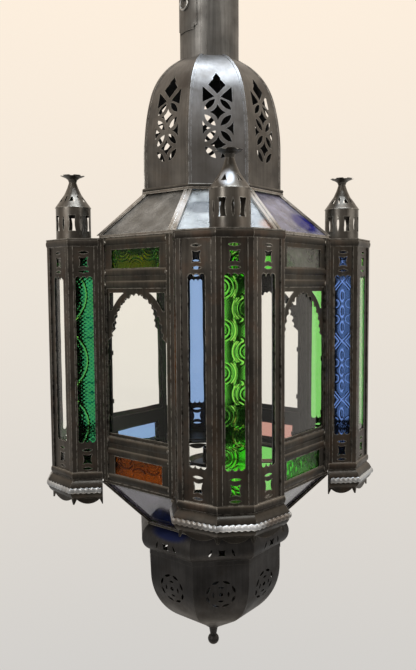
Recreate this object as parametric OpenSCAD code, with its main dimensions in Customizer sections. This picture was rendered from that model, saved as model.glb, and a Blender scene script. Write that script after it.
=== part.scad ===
// Fanous lantern of pierced tinplate and coloured glass, hung from an eye.
// Lengths in mm. Z up, the front tower faces -Y, the origin is the centre of the eye's bore.
// Each sub-part is drawn with the foot of the glazed body at z = 0 and then moved down under the eye.

/* [Body] */
// height of the glazed body between its two rims
body_height = 280; // [270:1:292]
// from the axis to the line where a tower leaves the core
core_reach = 137; // [134:1:141]
// width of a tower where it leaves the core
tower_width = 108; // [106:1:112]
// depth of a tower's straight side walls
tower_side = 34; // [33:1:38]
// depth of the slanted faces in front of the side walls
tower_nose = 27; // [25:1:29]
// width of a tower's front face
nose_width = 36; // [35:1:39]

/* [Metal and glass] */
// thickness of the tinplate
sheet = 0.8; // [0.6:0.1:1]
// thickness of the cap and closing plates
plate = 1.2; // [1:0.1:1.6]
// thickness of a glass pane
pane = 2; // [1.8:0.1:2.2]
// play round a pane in its groove
pane_play = 0.2; // [0.1:0.05:0.3]
// how far a corner came stands out of the wall
came_rise = 1.4; // [1.2:0.1:1.8]
// width of a corner came on each face
came_wing = 5; // [4.5:0.5:5.5]
// depth of the lip that holds a pane behind a wall
lip_cover = 2.5; // [2:0.5:3]
// from a corner to the edge of the pane beside it
pane_inset = 3.2; // [3:0.1:3.4]

/* [Tower windows] */
// width of the long window in a face
window_width = 20; // [18:0.5:20.5]
// from the body's foot and top to the ends of the long window
window_end = 46; // [44:1:50]
// from the body's foot to the middle of the lower motif
motif_height = 23; // [21:0.5:25]
// width of the hollow-sided square in a motif
motif_width = 10.5; // [9.5:0.5:11]
// height of the hollow-sided square in a motif
motif_rise = 12; // [11:0.5:13]
// from the square's middle to each leaf above and below it
leaf_step = 11; // [10:0.5:11.5]
// length of a lying leaf
leaf_length = 12; // [10:0.5:13]
// height of a lying leaf
leaf_rise = 3; // [2.4:0.2:3.6]

/* [Wide panels] */
// depth of a panel frame
panel_depth = 5; // [4.8:0.1:5.6]
// width of the tower post beside a panel
post_wing = 6; // [5.5:0.5:6.5]
// width of the upper and lower glass that shows
light_width = 74; // [68:1:76]
// height of the upper and lower glass that shows
light_height = 21; // [19:0.5:23]
// foot of the lower glass above the body's foot
light_foot = 8.5; // [8:0.5:10]
// height of a double rail between two openings
rail_height = 23; // [21:0.5:24]
// width of the field that holds the arched plate
field_width = 92; // [88:1:93]
// from the field's edge to the arched opening at its springing
arch_side = 6; // [5.5:0.5:7]
// from the top of the field down to the arch's crown
arch_drop = 4.5; // [4:0.5:7]
// height of the arch's head from its springing to its crown
arch_rise = 48.5; // [46:0.5:52]
// from the springing down to the points of the arch's legs
arch_leg = 7; // [6:0.5:9]
// radius of a lobe along the arch
lobe = 3.4; // [3:0.1:3.8]
// width of the band between the arch and the corner openings
arch_band = 7; // [6:0.5:8]
// height of a corner opening
corner_rise = 20; // [18:0.5:22]
// depth of the step that holds the panes and the arched plate
rebate = 3; // [2.8:0.1:3.2]
// width of a half-round rail came
rail_came = 8; // [7:0.5:8.5]

/* [Roof and belly] */
// thickness of the rings round the slopes
ring_thick = 3; // [2.6:0.1:3.4]
// from the axis to the flat sides of the slopes' outer edge
slope_reach = 134; // [132:1:136]
// radial width of the wide rings
ring_width = 12; // [10:0.5:13]
// height of the roof with its rings
roof_rise = 55.5; // [52:0.5:60]
// height of the belly slope with its rings
belly_rise = 63; // [60:0.5:67]
// width of the double came on a hip
hip_width = 9; // [8:0.5:10]
// height of the double came on a hip
hip_rise = 2.4; // [2:0.1:2.8]
// gap between two panes under a hip came
hip_gap = 2; // [1.8:0.1:2.4]

/* [Dome] */
// from the axis to the flat side of the dome
dome_reach = 81; // [79:0.5:83]
// height of the dome's upright foot
dome_upright = 45.5; // [43:0.5:48]
// radius of the dome's slow curve
dome_slow = 240; // [234:2:248]
// radius of the dome's shoulder
dome_shoulder = 84; // [82:1:86]
// degrees that the slow curve turns
dome_turn = 14.5; // [13.5:0.5:15.5]
// height of the rolled ring under the dome
dome_ring = 4; // [3.6:0.2:4.6]
// width of the folded hem along a gore's edges
hem = 2.6; // [2.2:0.2:3]
// height from one crossing of the lattice to the next
lattice_pitch = 36; // [34:0.5:37]
// height of the lowest crossing above the dome's foot
lattice_foot = 25.5; // [24:0.5:27]
// width of the pierced lattice
lattice_width = 35; // [32:0.5:36]
// length of a petal in the lattice
petal_length = 17.5; // [16:0.5:18]
// width of a petal in the lattice
petal_width = 6.4; // [5.6:0.2:6.8]
// width and height of the hollow-sided diamond
diamond = 19; // [17:0.5:20]
// height of the pointed opening at the top of a gore
fleur_height = 27; // [25:0.5:28]
// width of the pointed opening
fleur_width = 20; // [18:0.5:21]

/* [Turrets] */
// from the axis to a turret's middle
turret_reach = 169; // [167:1:171]
// outer radius of a drum
drum_radius = 21; // [20:0.5:22]
// height of a drum
drum_height = 40; // [37:0.5:43]
// height of a drum window
port_height = 18.5; // [17:0.5:19.5]
// width of a drum window
port_width = 9; // [8:0.5:9.5]
// width of a slit
slit_width = 2.6; // [2.2:0.2:3]
// height of the pointed roof up to the flower's throat
cone_height = 31; // [29:0.5:33]
// radius of the flower's throat
throat = 4.5; // [4.2:0.1:4.9]
// radius of the flower
flower_radius = 14.5; // [13.5:0.5:15.5]
// height of the flower's dish
flower_rise = 8; // [7:0.5:9]

/* [Tower skirts] */
// height of the rolled bead
bead_height = 23; // [21:0.5:25]
// how far the bead stands out
bead_rise = 6.5; // [6:0.25:7]
// depth of the lobes under the bead
skirt_drop = 6; // [5:0.5:7]
// width of the small points at the corners
spike_width = 4; // [3.5:0.5:4.5]

/* [Collar and lower dome] */
// height of the collar's roll
collar_height = 33; // [31:0.5:35]
// how far the collar's roll stands out
collar_rise = 10.5; // [9.5:0.5:11.5]
// height of the lower dome's upright top
bowl_upright = 28; // [26:0.5:30]
// radius of the lower dome's curve
bowl_radius = 78; // [76:1:80]
// degrees that the lower dome's curve turns
bowl_turn = 56; // [54:0.5:58]
// from the axis to the flat sides of the tip
tip_reach = 8.5; // [8:0.25:9.5]
// height of the rosette's middle under the top of the lower dome
rosette_drop = 41.5; // [40:0.5:43]
// radius of the ring of leaves in a rosette
rosette_radius = 16.5; // [15.5:0.5:17.5]
// width of a leaf in a rosette
rosette_leaf = 3.4; // [3:0.2:3.8]
// height of the diamond between the collar's slits
collar_diamond = 9; // [8:0.5:10]
// height of the finial's tapered neck
tip_neck = 12; // [11:0.5:13]
// radius of the finial's ball
ball_radius = 7.2; // [6.8:0.1:7.6]
// radius of the finial's shank
shank = 3; // [2.6:0.1:3.2]

/* [Neck and eye] */
// outer radius of the neck tube
neck_radius = 36; // [35:0.5:37]
// length of the neck above the dome
neck_length = 108; // [102:1:114]
// length of the neck inside the dome
neck_tuck = 8; // [6:0.5:10]
// height of the cap on the neck
cap_rise = 9; // [8:0.5:10]
// width of a ring strap round the neck, in degrees
strap_turn = 56; // [52:1:60]
// height of a ring strap
strap_height = 58; // [54:1:60]
// foot of a ring strap above the dome
strap_foot = 32; // [30:1:34]
// height of the staple above the strap's foot
staple_height = 41; // [40:0.5:43]
// radius of the staple's wire loop
staple_radius = 5; // [4.9:0.05:5.2]
// radius of the hanging ring on a strap
ring_radius = 7; // [6.6:0.1:7.4]
// radius of the ring's wire
wire = 1.1; // [1:0.05:1.2]
// radius of the eye's bore
eye_bore = 5; // [4.6:0.1:5.4]
// outer radius of the eye
eye_radius = 11; // [10.5:0.5:12]
// thickness of the eye
eye_thick = 4; // [3.6:0.2:4.4]

/* [Door] */
// radius of a hinge knuckle
knuckle = 2.8; // [2.7:0.1:3]
// radius of a hinge pin
hinge_pin = 1.2; // [1.1:0.05:1.3]
// radial play in a knuckle
hinge_play = 0.05; // [0.04:0.01:0.08]
// height of one hinge
hinge_height = 24; // [22:1:26]
// gap between the door and its posts
door_gap = 0.7; // [0.5:0.05:0.9]
// length of the turn button
button_length = 16; // [15:0.5:17]
// width of the turn button
button_width = 5; // [4.6:0.2:5.4]

/* [Candle holder] */
// width of the cross bar
bar_width = 16; // [14:1:18]
// radius of the drip dish
dish_radius = 30; // [28:1:32]
// inner radius of the candle socket
socket_radius = 11; // [10.5:0.5:12]
// height of the candle socket
socket_height = 20; // [18:1:22]

/* [Hidden] */
$fn = 96;
sides = 8;
half_turn = 180 / sides;
tiny = sheet / 16;
apart = sheet * 3 / 8;
lap = sheet / 8;
far = core_reach * 4;
tin = [0.25, 0.23, 0.21];
dark_tin = [0.2, 0.18, 0.17];
silver = [0.5, 0.5, 0.52];
green = [0.16, 0.5, 0.2, 0.6];
clear = [0.8, 0.85, 0.88, 0.4];

// plan of a tower, from one root round to the other
root_half = tower_width / 2;
nose_half = nose_width / 2;
shoulder_reach = core_reach + tower_side;
nose_reach = shoulder_reach + tower_nose;
slant = atan2(tower_nose, root_half - nose_half);
plan = [[core_reach, -root_half], [shoulder_reach, -root_half], [nose_reach, -nose_half],
        [nose_reach, nose_half], [shoulder_reach, root_half], [core_reach, root_half]];
// normals of the five faces, with the two neighbouring wide panels first and last
turns = [-45, -90, -slant, 0, slant, 90, 45];
groove = sheet + pane + pane_play;
groove_back = groove + sheet;
window_height = body_height - window_end * 2;

// wide panels
panel_reach = (core_reach + root_half) / sqrt(2);
panel_half = (core_reach - root_half) / sqrt(2) - post_wing;
upper_foot = body_height - light_foot - light_height - rail_height / 5;
field_foot = light_foot + light_height + rail_height;
field_top = upper_foot - rail_height;
arch_half = field_width / 2 - arch_side;
arch_crown = field_top - arch_drop;
arch_spring = arch_crown - arch_rise;
arch_radius = (arch_rise * arch_rise + arch_half * arch_half) / arch_half / 2;

// levels
rim_top = body_height + plate;
roof_top = rim_top + roof_rise;
dome_foot = roof_top + dome_ring;
slow_x = dome_reach - dome_slow;
slow_z = dome_foot + dome_upright;
shoulder_x = slow_x + (dome_slow - dome_shoulder) * cos(dome_turn);
shoulder_z = slow_z + (dome_slow - dome_shoulder) * sin(dome_turn);
neck_hole = neck_radius + apart;
// degrees at which the shoulder's curve ends, over the neck's hole
shoulder_end = 88;
dome_top = shoulder_z + sqrt(pow(dome_shoulder, 2) - pow(neck_hole - shoulder_x, 2));
neck_top = dome_top + neck_length;
cap_top = neck_top + cap_rise;
eye_z = cap_top + plate + eye_radius;
drum_top = rim_top + drum_height;
collar_top = -plate - belly_rise;
bowl_top = collar_top - collar_height;
bowl_z = bowl_top - bowl_upright;
bowl_x = dome_reach - bowl_radius;
bowl_end_x = bowl_x + bowl_radius * cos(bowl_turn);
bowl_end_z = bowl_z - bowl_radius * sin(bowl_turn);
tip_z = bowl_end_z - (bowl_end_x - tip_reach) / tan(bowl_turn);
bead_radius = (bead_height * bead_height / 4 + bead_rise * bead_rise) / bead_rise / 2;
collar_radius = (collar_height * collar_height / 4 + collar_rise * collar_rise) / collar_rise / 2;

// staple on a strap, and the centre of the ring's upper wire inside it
strap_angle = 212;
seam_angle = 249;
seam_turn = 9;
staple_z = dome_top + strap_foot + staple_height;
hang_x = neck_radius + apart + sheet + wire * 1.3;
hang_z = staple_z - staple_radius * 0.34;

// hinge and button stand on the faces of the cames
hinge_x = came_rise + knuckle + apart;
button_y = -(panel_half + post_wing / 2);
button_z = body_height * 0.55;

// pointed opening, in shares of its width and height
fleur_shares = [[0, 1], [0.07, 0.9], [0.24, 0.72], [0.2, 0.68], [0.5, 0.41],
                [0, 0], [-0.5, 0.41], [-0.2, 0.68], [-0.24, 0.72], [-0.07, 0.9]];
// openings on either side of the lattice's top crossing, in shares of half a pitch
wing_shares = [[0.19, 0], [0.92, 0.67], [0.94, -0.36]];
// turret roof, in shares of the way from the throat to the eave and of its height
cone_shares = [[1, 0], [0.62, 0.3], [0.34, 0.52], [0.13, 0.78], [0, 1]];
flower_shares = [[0.12, 0.42], [0.42, 0.7], [1, 1]];

// Plan helpers

function dir(t) = [cos(t), sin(t)];
function run(t) = [-sin(t), cos(t)];
function miter(t1, t2) = (dir(t1) + dir(t2)) / (1 + dir(t1) * dir(t2));
// L-shaped band round a bend: wings w1 and w2, from e1 outside the wall line to e2
function bend(p, t1, t2, w1, w2, e1, e2) = [
    p - run(t1) * w1 + dir(t1) * e1, p + miter(t1, t2) * e1, p + run(t2) * w2 + dir(t2) * e1,
    p + run(t2) * w2 + dir(t2) * e2, p + miter(t1, t2) * e2, p - run(t1) * w1 + dir(t1) * e2];
function corner(i) = i == 0 ? [0, -1] : i == 5 ? [0, 1] : miter(turns[i], turns[i + 1]);
function wall_line(e) = [for (i = [0:5]) plan[i] + corner(i) * e];
function back(list) = [for (i = [len(list) - 1:-1:0]) list[i]];
function face_mid(i) = (plan[i] + plan[i + 1]) / 2;
function face_width(i) = norm(plan[i + 1] - plan[i]);

// outline of the plates that close a tower above and below
function lid(e) = [
    plan[5] + run(turns[6]) * post_wing - dir(turns[6]) * panel_depth,
    plan[5] + run(turns[6]) * post_wing + dir(turns[6]) * e, plan[5] + miter(turns[5], turns[6]) * e,
    plan[4] + corner(4) * e, plan[3] + corner(3) * e, plan[2] + corner(2) * e,
    plan[1] + corner(1) * e, plan[0] + miter(turns[0], turns[1]) * e,
    plan[0] - run(turns[0]) * post_wing + dir(turns[0]) * e,
    plan[0] - run(turns[0]) * post_wing - dir(turns[0]) * panel_depth];

// stands a flat shape on a face, across it (x along the face, y up), h thick about the face line
module on_face(i, h) {
    translate([face_mid(i)[0], face_mid(i)[1], 0]) rotate([90, 0, turns[i + 1] + 90])
        linear_extrude(h, center = true) children();
}
// runs a section (x outwards, y up) along a face
module along_face(i) {
    translate([face_mid(i)[0], face_mid(i)[1], 0]) rotate([90, 0, turns[i + 1]])
        linear_extrude(face_width(i) * 2, center = true) children();
}
// plan zone of one face between its two mitres, lapped over them
module face_zone(i, out, inn) {
    over = run(turns[i + 1]) * lap;
    polygon([plan[i] + corner(i) * out - over, plan[i + 1] + corner(i + 1) * out + over,
             plan[i + 1] - corner(i + 1) * inn + over, plan[i] - corner(i) * inn - over]);
}
// cuts outwards through a wall on the +X side: x along the wall, y up
module pierce(from, to) {
    translate([from, 0, 0]) rotate([90, 0, 90]) linear_extrude(to - from) children();
}
// one eighth of the plan round +X, drawn back by gap from the hip planes
module eighth(gap) {
    polygon([[gap / sin(half_turn), 0], [far, (far - gap / sin(half_turn)) * tan(half_turn)],
             [far, -(far - gap / sin(half_turn)) * tan(half_turn)]]);
}
module at(angle) {
    translate([0, 0, -eye_z]) rotate([0, 0, angle]) children();
}
module eight() {
    for (k = [0:sides - 1]) rotate([0, 0, k * 2 * half_turn]) children();
}
// runs a section (x outwards, y up) round the octagon, in strips drawn back by gap from the corners
module octagon_run(gap) {
    eight() intersection() {
        rotate([90, 0, 0]) linear_extrude(far, center = true) children();
        translate([0, 0, -far]) linear_extrude(far * 2) eighth(gap);
    }
}
// flat eight-sided ring with its foot at z
module ring(z, height, outer, inner) {
    translate([0, 0, z]) linear_extrude(height) difference() {
        octagon(outer);
        octagon(inner);
    }
}
module octagon(reach) {
    rotate([0, 0, half_turn]) circle(r = reach / cos(half_turn), $fn = sides);
}

// Pierced shapes

module leaf(length, width) {
    r = (length * length + width * width) / width / 4;
    intersection() {
        translate([0, r - width / 2]) circle(r);
        translate([0, width / 2 - r]) circle(r);
    }
}
// square with hollow sides, dip deep
module hollow_square(width, height, dip) {
    difference() {
        square([width, height], center = true);
        for (s = [-1, 1]) {
            translate([s * (width / 2 - dip + height), 0]) circle(height);
            translate([0, s * (height / 2 - dip + width)]) circle(width);
        }
    }
}
module motif() {
    hollow_square(motif_width, motif_rise, motif_width / 8);
    for (s = [-1, 1]) translate([0, s * leaf_step]) leaf(leaf_length, leaf_rise);
}
module long_window() {
    square([window_width, window_height], center = true);
    for (s = [-1, 1], k = [-1, 0, 1])
        translate([k * window_width / 3, s * window_height / 2]) circle(window_width / 6 - tiny);
}
module face_openings() {
    translate([0, body_height / 2]) long_window();
    translate([0, motif_height]) motif();
    translate([0, body_height - motif_height - leaf_rise]) motif();
}
module port() {
    difference() {
        square([port_width, port_height], center = true);
        for (s = [-1, 1]) translate([s * (port_height * 2 + port_width / 3), 0])
            circle(port_height * 2, $fn = 128);
    }
}

// Towers

module tower_shell() {
    difference() {
        union() {
            linear_extrude(body_height) polygon(concat(wall_line(0), back(wall_line(-sheet))));
            // corner cames outside, with the lips that hold the panes behind them
            linear_extrude(body_height) for (i = [1:4]) {
                polygon(bend(plan[i], turns[i], turns[i + 1], came_wing, came_wing, came_rise, -sheet / 2));
                polygon(bend(plan[i], turns[i], turns[i + 1], pane_inset - pane_play, pane_inset - pane_play,
                             -sheet / 2, -groove_back));
                polygon(bend(plan[i], turns[i], turns[i + 1], pane_inset + lip_cover, pane_inset + lip_cover,
                             -groove, -groove_back));
            }
            linear_extrude(body_height) root_posts();
            // rims above and below the windows
            for (z = [0, body_height - rail_came], i = [0:4]) intersection() {
                translate([0, 0, z]) linear_extrude(rail_came) face_zone(i, far / 8, sheet);
                translate([0, 0, z]) along_face(i) rim_section();
            }
        }
        for (i = [0:4]) on_face(i, groove * 2) face_openings();
    }
}
module rim_section() {
    translate([-sheet / 2, 0]) square([sheet / 2 + came_rise, rail_came]);
    translate([came_rise - tiny, rail_came / 2]) half_round();
}
module root_posts() {
    polygon(bend(plan[5], 90, 45, came_wing, post_wing, came_rise, -sheet / 2));
    polygon(bend(plan[5], 90, 45, pane_inset - pane_play, post_wing, -sheet / 2, -panel_depth));
    polygon(bend(plan[5], 90, 45, pane_inset + lip_cover, post_wing, -groove, -groove_back));
    polygon(bend(plan[0], -45, -90, post_wing, came_wing, came_rise, -sheet / 2));
    polygon(bend(plan[0], -45, -90, post_wing, pane_inset - pane_play, -sheet / 2, -panel_depth));
    polygon(bend(plan[0], -45, -90, post_wing, pane_inset + lip_cover, -groove, -groove_back));
}
module tower_panes() {
    for (i = [0:4]) on_pane_line(i) translate([0, body_height / 2])
        square([face_width(i) - pane_inset * 2, body_height - pane_play * 2], center = true);
}
// stands a flat shape one pane thick in a face's groove
module on_pane_line(i) {
    p = face_mid(i) - dir(turns[i + 1]) * (sheet + pane_play / 2 + pane / 2);
    translate([p[0], p[1], 0]) rotate([90, 0, turns[i + 1] + 90])
        linear_extrude(pane, center = true) children();
}

// Turrets

module turret_drum() {
    translate([0, 0, body_height]) linear_extrude(plate) difference() {
        polygon(lid(came_rise * 1.6));
        translate([turret_reach, 0]) circle(drum_radius - sheet * 4);
    }
    translate([turret_reach, 0, body_height]) difference() {
        cylinder(h = plate + drum_height, r = drum_radius);
        translate([0, 0, -plate]) cylinder(h = plate * 3 + drum_height, r = drum_radius - sheet);
        for (k = [0:5]) rotate([0, 0, k * 60]) translate([0, 0, plate + drum_height * 0.52]) {
            pierce(drum_radius * 0.75, drum_radius * 1.3) rotate([0, 0, 90]) leaf(port_height, slit_width);
            rotate([0, 0, 30]) pierce(drum_radius * 0.75, drum_radius * 1.3) port();
        }
    }
}
module turret_cone() {
    eave = drum_radius + sheet;
    cone = [for (s = cone_shares) [throat + (eave - throat) * s[0], cone_height * s[1]]];
    flower = [for (s = flower_shares)
        [throat + (flower_radius - throat) * s[0], cone_height + flower_rise * s[1]]];
    line = concat(cone, flower);
    inner = [for (p = back(line)) [p[0] - sheet * 1.2, p[1]]];
    translate([turret_reach, 0, drum_top]) difference() {
        rotate_extrude() polygon(concat(line, inner));
        for (k = [0:5]) rotate([0, 0, k * 60]) {
            translate([0, 0, cone_height * 0.34]) pierce(throat * 2, drum_radius)
                rotate([0, 0, 90]) leaf(cone_height * 0.32, slit_width * 0.8);
            rotate([0, 0, 30]) translate([0, 0, cone_height * 0.22]) pierce(throat * 2, drum_radius)
                polygon([[-port_width * 0.36, 0], [port_width * 0.36, 0], [0, cone_height * 0.24]]);
            // notches between the petals
            rotate([0, 0, 30]) translate([flower_radius + throat * 0.3, 0, cone_height + flower_rise * 0.3])
                cylinder(h = flower_rise, r = throat * 0.8);
        }
    }
}

// Skirts under the towers

module tower_skirt() {
    translate([0, 0, -plate]) linear_extrude(plate) polygon(lid(0));
    for (i = [0:4]) intersection() {
        translate([0, 0, -far]) linear_extrude(far) face_zone(i, far / 8, sheet);
        union() {
            on_face(i, sheet * 2) skirt_outline(face_width(i));
            along_face(i) bead_section();
        }
    }
}
module skirt_outline(width) {
    top = -plate / 2;
    foot = -plate - bead_height;
    chord = width / 2 - spike_width * 0.8;
    r = (chord * chord + skirt_drop * skirt_drop) / skirt_drop / 2;
    translate([-width, foot]) square([width * 2, top - foot]);
    intersection() {
        translate([0, foot + r - skirt_drop]) circle(r, $fn = 128);
        translate([-chord, foot - skirt_drop * 2]) square([chord * 2, skirt_drop * 2.5]);
    }
    for (s = [-1, 1]) translate([s * width / 2, foot]) polygon([
        [-spike_width, tiny], [spike_width, tiny], [sheet, -skirt_drop * 1.1], [-sheet, -skirt_drop * 1.1]]);
}
module bead_section() {
    translate([bead_rise - bead_radius, -plate - bead_height / 2]) difference() {
        circle(bead_radius);
        circle(bead_radius - sheet);
        translate([-far - bead_rise + bead_radius - sheet / 2, -far / 2]) square([far, far]);
    }
}

// Wide panels, drawn upright with the outer face on x = 0 and x outwards

module in_panel() {
    translate([panel_reach, 0, 0]) children();
}
// a flat shape (x across the panel, y up) between two depths
module slab(from, to) {
    translate([from, 0, 0]) rotate([90, 0, 90]) linear_extrude(to - from) children();
}
module openings(half_light, grow) {
    for (z = [light_foot, upper_foot]) translate([-half_light - grow, z - grow])
        square([(half_light + grow) * 2, light_height + grow * 2]);
    translate([-field_width / 2 - grow, field_foot - grow])
        square([field_width + grow * 2, field_top - field_foot + grow * 2]);
}
module panel_frame(gap) {
    half = panel_half - gap;
    high = rim_top + plate - gap * 2;
    difference() {
        slab(-panel_depth, 0) translate([0, body_height / 2]) square([half * 2, high], center = true);
        slab(-panel_depth * 2, panel_depth) openings(light_width / 2, 0);
        slab(-panel_depth * 2, -sheet * 1.5) openings(light_width / 2, rebate);
    }
    // flat stile cames and pairs of half-round rail cames
    for (s = [-1, 1]) slab(-sheet, came_rise) translate([s * (half - came_wing / 2), body_height / 2])
        square([came_wing, high], center = true);
    in_by = rail_came / 2 + sheet;
    for (z = [rail_came / 2, field_foot - in_by, field_foot - rail_height + in_by,
              field_top + in_by, upper_foot - in_by, body_height - rail_came / 2])
        translate([0, 0, z]) rotate([90, 0, 0]) linear_extrude(half * 2, center = true) half_round();
    tabs();
}
module half_round() {
    rise = came_rise * 0.85;
    r = (rail_came * rail_came / 4 + rise * rise) / rise / 2;
    intersection() {
        translate([rise - r, 0]) circle(r);
        translate([-sheet / 2, -rail_came / 2]) square([came_rise * 2, rail_came]);
    }
}
// small tabs bent over the panes from behind
module tabs() {
    edge = light_width / 2 + rebate * 0.9;
    field = field_width / 2 + rebate * 0.9;
    for (s = [-1, 1]) {
        for (z = [light_foot + light_height / 2, upper_foot + light_height / 2])
            tab(s * edge, z, sheet * 1.5 + pane + pane_play * 2);
        for (z = [field_foot + corner_rise, (field_foot + field_top) / 2, field_top - corner_rise])
            tab(s * field, z, sheet * 2.5 + pane + pane_play * 2);
    }
}
module tab(y, z, depth) {
    translate([-(panel_depth + depth) / 2, y, z])
        cube([panel_depth - depth, rebate * 2, rebate * 2], center = true);
}
module arch_plate() {
    slab(-sheet * 2.5 - pane_play / 2, -sheet * 1.5 - pane_play / 2) difference() {
        in_rebate();
        arch_opening();
        corner_openings();
    }
}
// what fills the field's rebate, with play all round
module in_rebate() {
    over = rebate - pane_play;
    translate([-field_width / 2 - over, field_foot - over])
        square([field_width + over * 2, field_top - field_foot + over * 2]);
}
// pointed head over straight jambs, grown outwards by e
module arch_shape(e) {
    foot = field_foot + lobe;
    translate([-arch_half - e, foot]) square([arch_half * 2 + e * 2, arch_spring - foot]);
    intersection() {
        translate([-arch_half - e, arch_spring - tiny]) square([arch_half * 2 + e * 2, arch_rise * 2]);
        translate([arch_half - arch_radius, arch_spring]) circle(arch_radius + e, $fn = 128);
        translate([arch_radius - arch_half, arch_spring]) circle(arch_radius + e, $fn = 128);
    }
}
module arch_opening() {
    arch_shape(-lobe * 0.7);
    // under the legs' points the opening is as wide as the field
    edge = field_width / 2 + lobe / 4;
    leg = arch_half - lobe * 0.7;
    point = arch_spring - arch_leg;
    polygon([[-edge, field_foot + lobe], [edge, field_foot + lobe], [edge, point], [leg, arch_spring],
             [-leg, arch_spring], [-edge, point]]);
    // lobes along both curves, with one at the crown
    reach = acos((arch_radius - arch_half) / arch_radius);
    for (s = [-1, 1], k = [0:6])
        translate([s * (arch_half - arch_radius), arch_spring])
            rotate([0, 0, s > 0 ? reach * (k + 0.3) / 7.2 : 180 - reach * (k + 0.3) / 7.2])
                translate([arch_radius - lobe, 0]) circle(lobe);
    translate([0, arch_crown - lobe * 1.3]) circle(lobe);
}
module corner_openings() {
    half = field_width / 2 - sheet * 4;
    difference() {
        translate([-half, arch_crown - corner_rise]) square([half * 2, corner_rise]);
        arch_shape(arch_band);
        translate([-arch_half / 2, 0]) square([arch_half, far]);
    }
}
module panel_panes() {
    depth = sheet * 1.5 + pane_play;
    over = rebate - pane_play;
    for (z = [light_foot, upper_foot]) slab(-depth - pane, -depth)
        translate([0, z + light_height / 2])
            square([light_width + over * 2, light_height + over * 2], center = true);
    slab(-depth - sheet - pane, -depth - sheet) in_rebate();
}
module fixed_frame() {
    in_panel() panel_frame(0);
}

// Door: the back right panel, hinged on its right edge and held by a turn button

module leaf_body() {
    in_panel() {
        panel_frame(door_gap);
        for (s = [0, 1]) hinge_at(s) difference() {
            translate([0, 0, -hinge_height / 6 + hinge_play]) {
                cylinder(h = hinge_height / 3 - hinge_play * 2, r = knuckle);
                translate([-knuckle - apart - sheet / 2, -knuckle * 4, 0])
                    cube([sheet * 1.5 + apart, knuckle * 4 - door_gap, hinge_height / 3 - hinge_play * 2]);
            }
            cylinder(h = hinge_height * 2, r = hinge_pin + hinge_play, center = true);
        }
    }
}
module hinge_at(s) {
    translate([hinge_x, panel_half, body_height * (s == 0 ? 0.2 : 0.8)]) children();
}
module fixed_knuckles() {
    in_panel() for (s = [0, 1]) hinge_at(s) difference() {
        for (k = [-1, 1]) translate([0, 0, k * hinge_height / 3 - hinge_height / 6]) {
            cylinder(h = hinge_height / 3, r = knuckle);
            translate([-knuckle - apart, 0, 0]) cube([sheet + apart, post_wing - sheet, hinge_height / 3]);
        }
        cylinder(h = hinge_height * 2, r = hinge_pin + hinge_play, center = true);
    }
}
module pins_and_rivet() {
    in_panel() {
        for (s = [0, 1]) hinge_at(s) {
            cylinder(h = hinge_height + sheet * 2, r = hinge_pin, center = true);
            for (k = [-1, 1]) translate([0, 0, k * (hinge_height / 2 + sheet)])
                cylinder(h = sheet * 1.6, r = hinge_pin * 1.7, center = true);
        }
        // rivet of the turn button
        translate([came_rise, button_y, button_z]) rotate([0, 90, 0]) {
            cylinder(h = sheet * 2.5, r = hinge_pin);
            translate([0, 0, sheet * 1.9]) cylinder(h = sheet, r = hinge_pin * 1.8);
        }
    }
}
// hangs straight down beside the door, and turns a quarter across its edge to hold it shut
module button_body() {
    in_panel() translate([came_rise + sheet / 2, button_y, button_z]) rotate([0, 90, 0]) difference() {
        union() {
            cylinder(h = sheet, r = button_width / 2);
            translate([0, -button_width / 2, 0]) cube([button_length, button_width, sheet]);
            translate([button_length, 0, 0]) cylinder(h = sheet, r = button_width / 2);
        }
        translate([0, 0, -sheet]) cylinder(h = sheet * 3, r = hinge_pin + hinge_play);
    }
}

// Roof and belly slopes

function slope_angle(rise) = atan2(rise - ring_thick * 2, slope_reach - dome_reach);
module slope_frame(rise) {
    run_out = hip_rise / sin(slope_angle(rise));
    r1 = slope_reach / cos(half_turn);
    r2 = dome_reach / cos(half_turn);
    low = ring_thick;
    high = rise - ring_thick;
    lean = (r1 - r2) * ring_thick / (high - low);
    groove_foot = run_out * 0.6;
    ring(0, ring_thick, slope_reach + sheet * 2, slope_reach - ring_width);
    ring(high, ring_thick, dome_reach + hip_rise * 1.5, dome_reach - ring_width / 2);
    eight() rotate([0, 0, half_turn]) {
        difference() {
            hip(hip_width) polygon([[r1, low - tiny], [r1 + run_out, low - tiny], [r2 + run_out, high + tiny],
                                    [r2, high + tiny]]);
            // groove between the two strips, parallel to the hip
            hip(hip_width / 4) polygon([[r1 + lean + groove_foot, low - ring_thick],
                                        [r1 + lean + run_out * 2, low - ring_thick],
                                        [r2 - lean + run_out * 2, high + ring_thick],
                                        [r2 - lean + groove_foot, high + ring_thick]]);
        }
        hip(hip_gap * 0.8) polygon([[r1 + run_out / 2, low - tiny], [r1 - pane * 2, low - tiny],
                                    [r2 - pane * 2, high + tiny], [r2 + run_out / 2, high + tiny]]);
    }
}
module over_body() {
    at(0) translate([0, 0, rim_top]) children();
}
module under_body() {
    at(0) translate([0, 0, -plate]) rotate([180, 0, 0]) children();
}
module hip(width) {
    rotate([90, 0, 0]) linear_extrude(width, center = true) children();
}
module slope_panes(rise) {
    back_off = pane / sin(slope_angle(rise));
    low = ring_thick;
    high = rise - ring_thick;
    eight() intersection() {
        rotate([90, 0, 0]) linear_extrude(far, center = true)
            polygon([[slope_reach, low], [slope_reach - back_off, low],
                     [dome_reach - back_off, high], [dome_reach, high]]);
        linear_extrude(far) eighth(hip_gap / 2);
    }
}

// Dome

// wall of the dome in section, moved out by e and s thick
module dome_wall(e, s) {
    translate([dome_reach + e - s, dome_foot]) square([s, dome_upright + tiny]);
    translate([slow_x, slow_z]) sector(dome_slow + e, s, 0, dome_turn);
    translate([shoulder_x, shoulder_z]) sector(dome_shoulder + e, s, dome_turn, shoulder_end);
}
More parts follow.
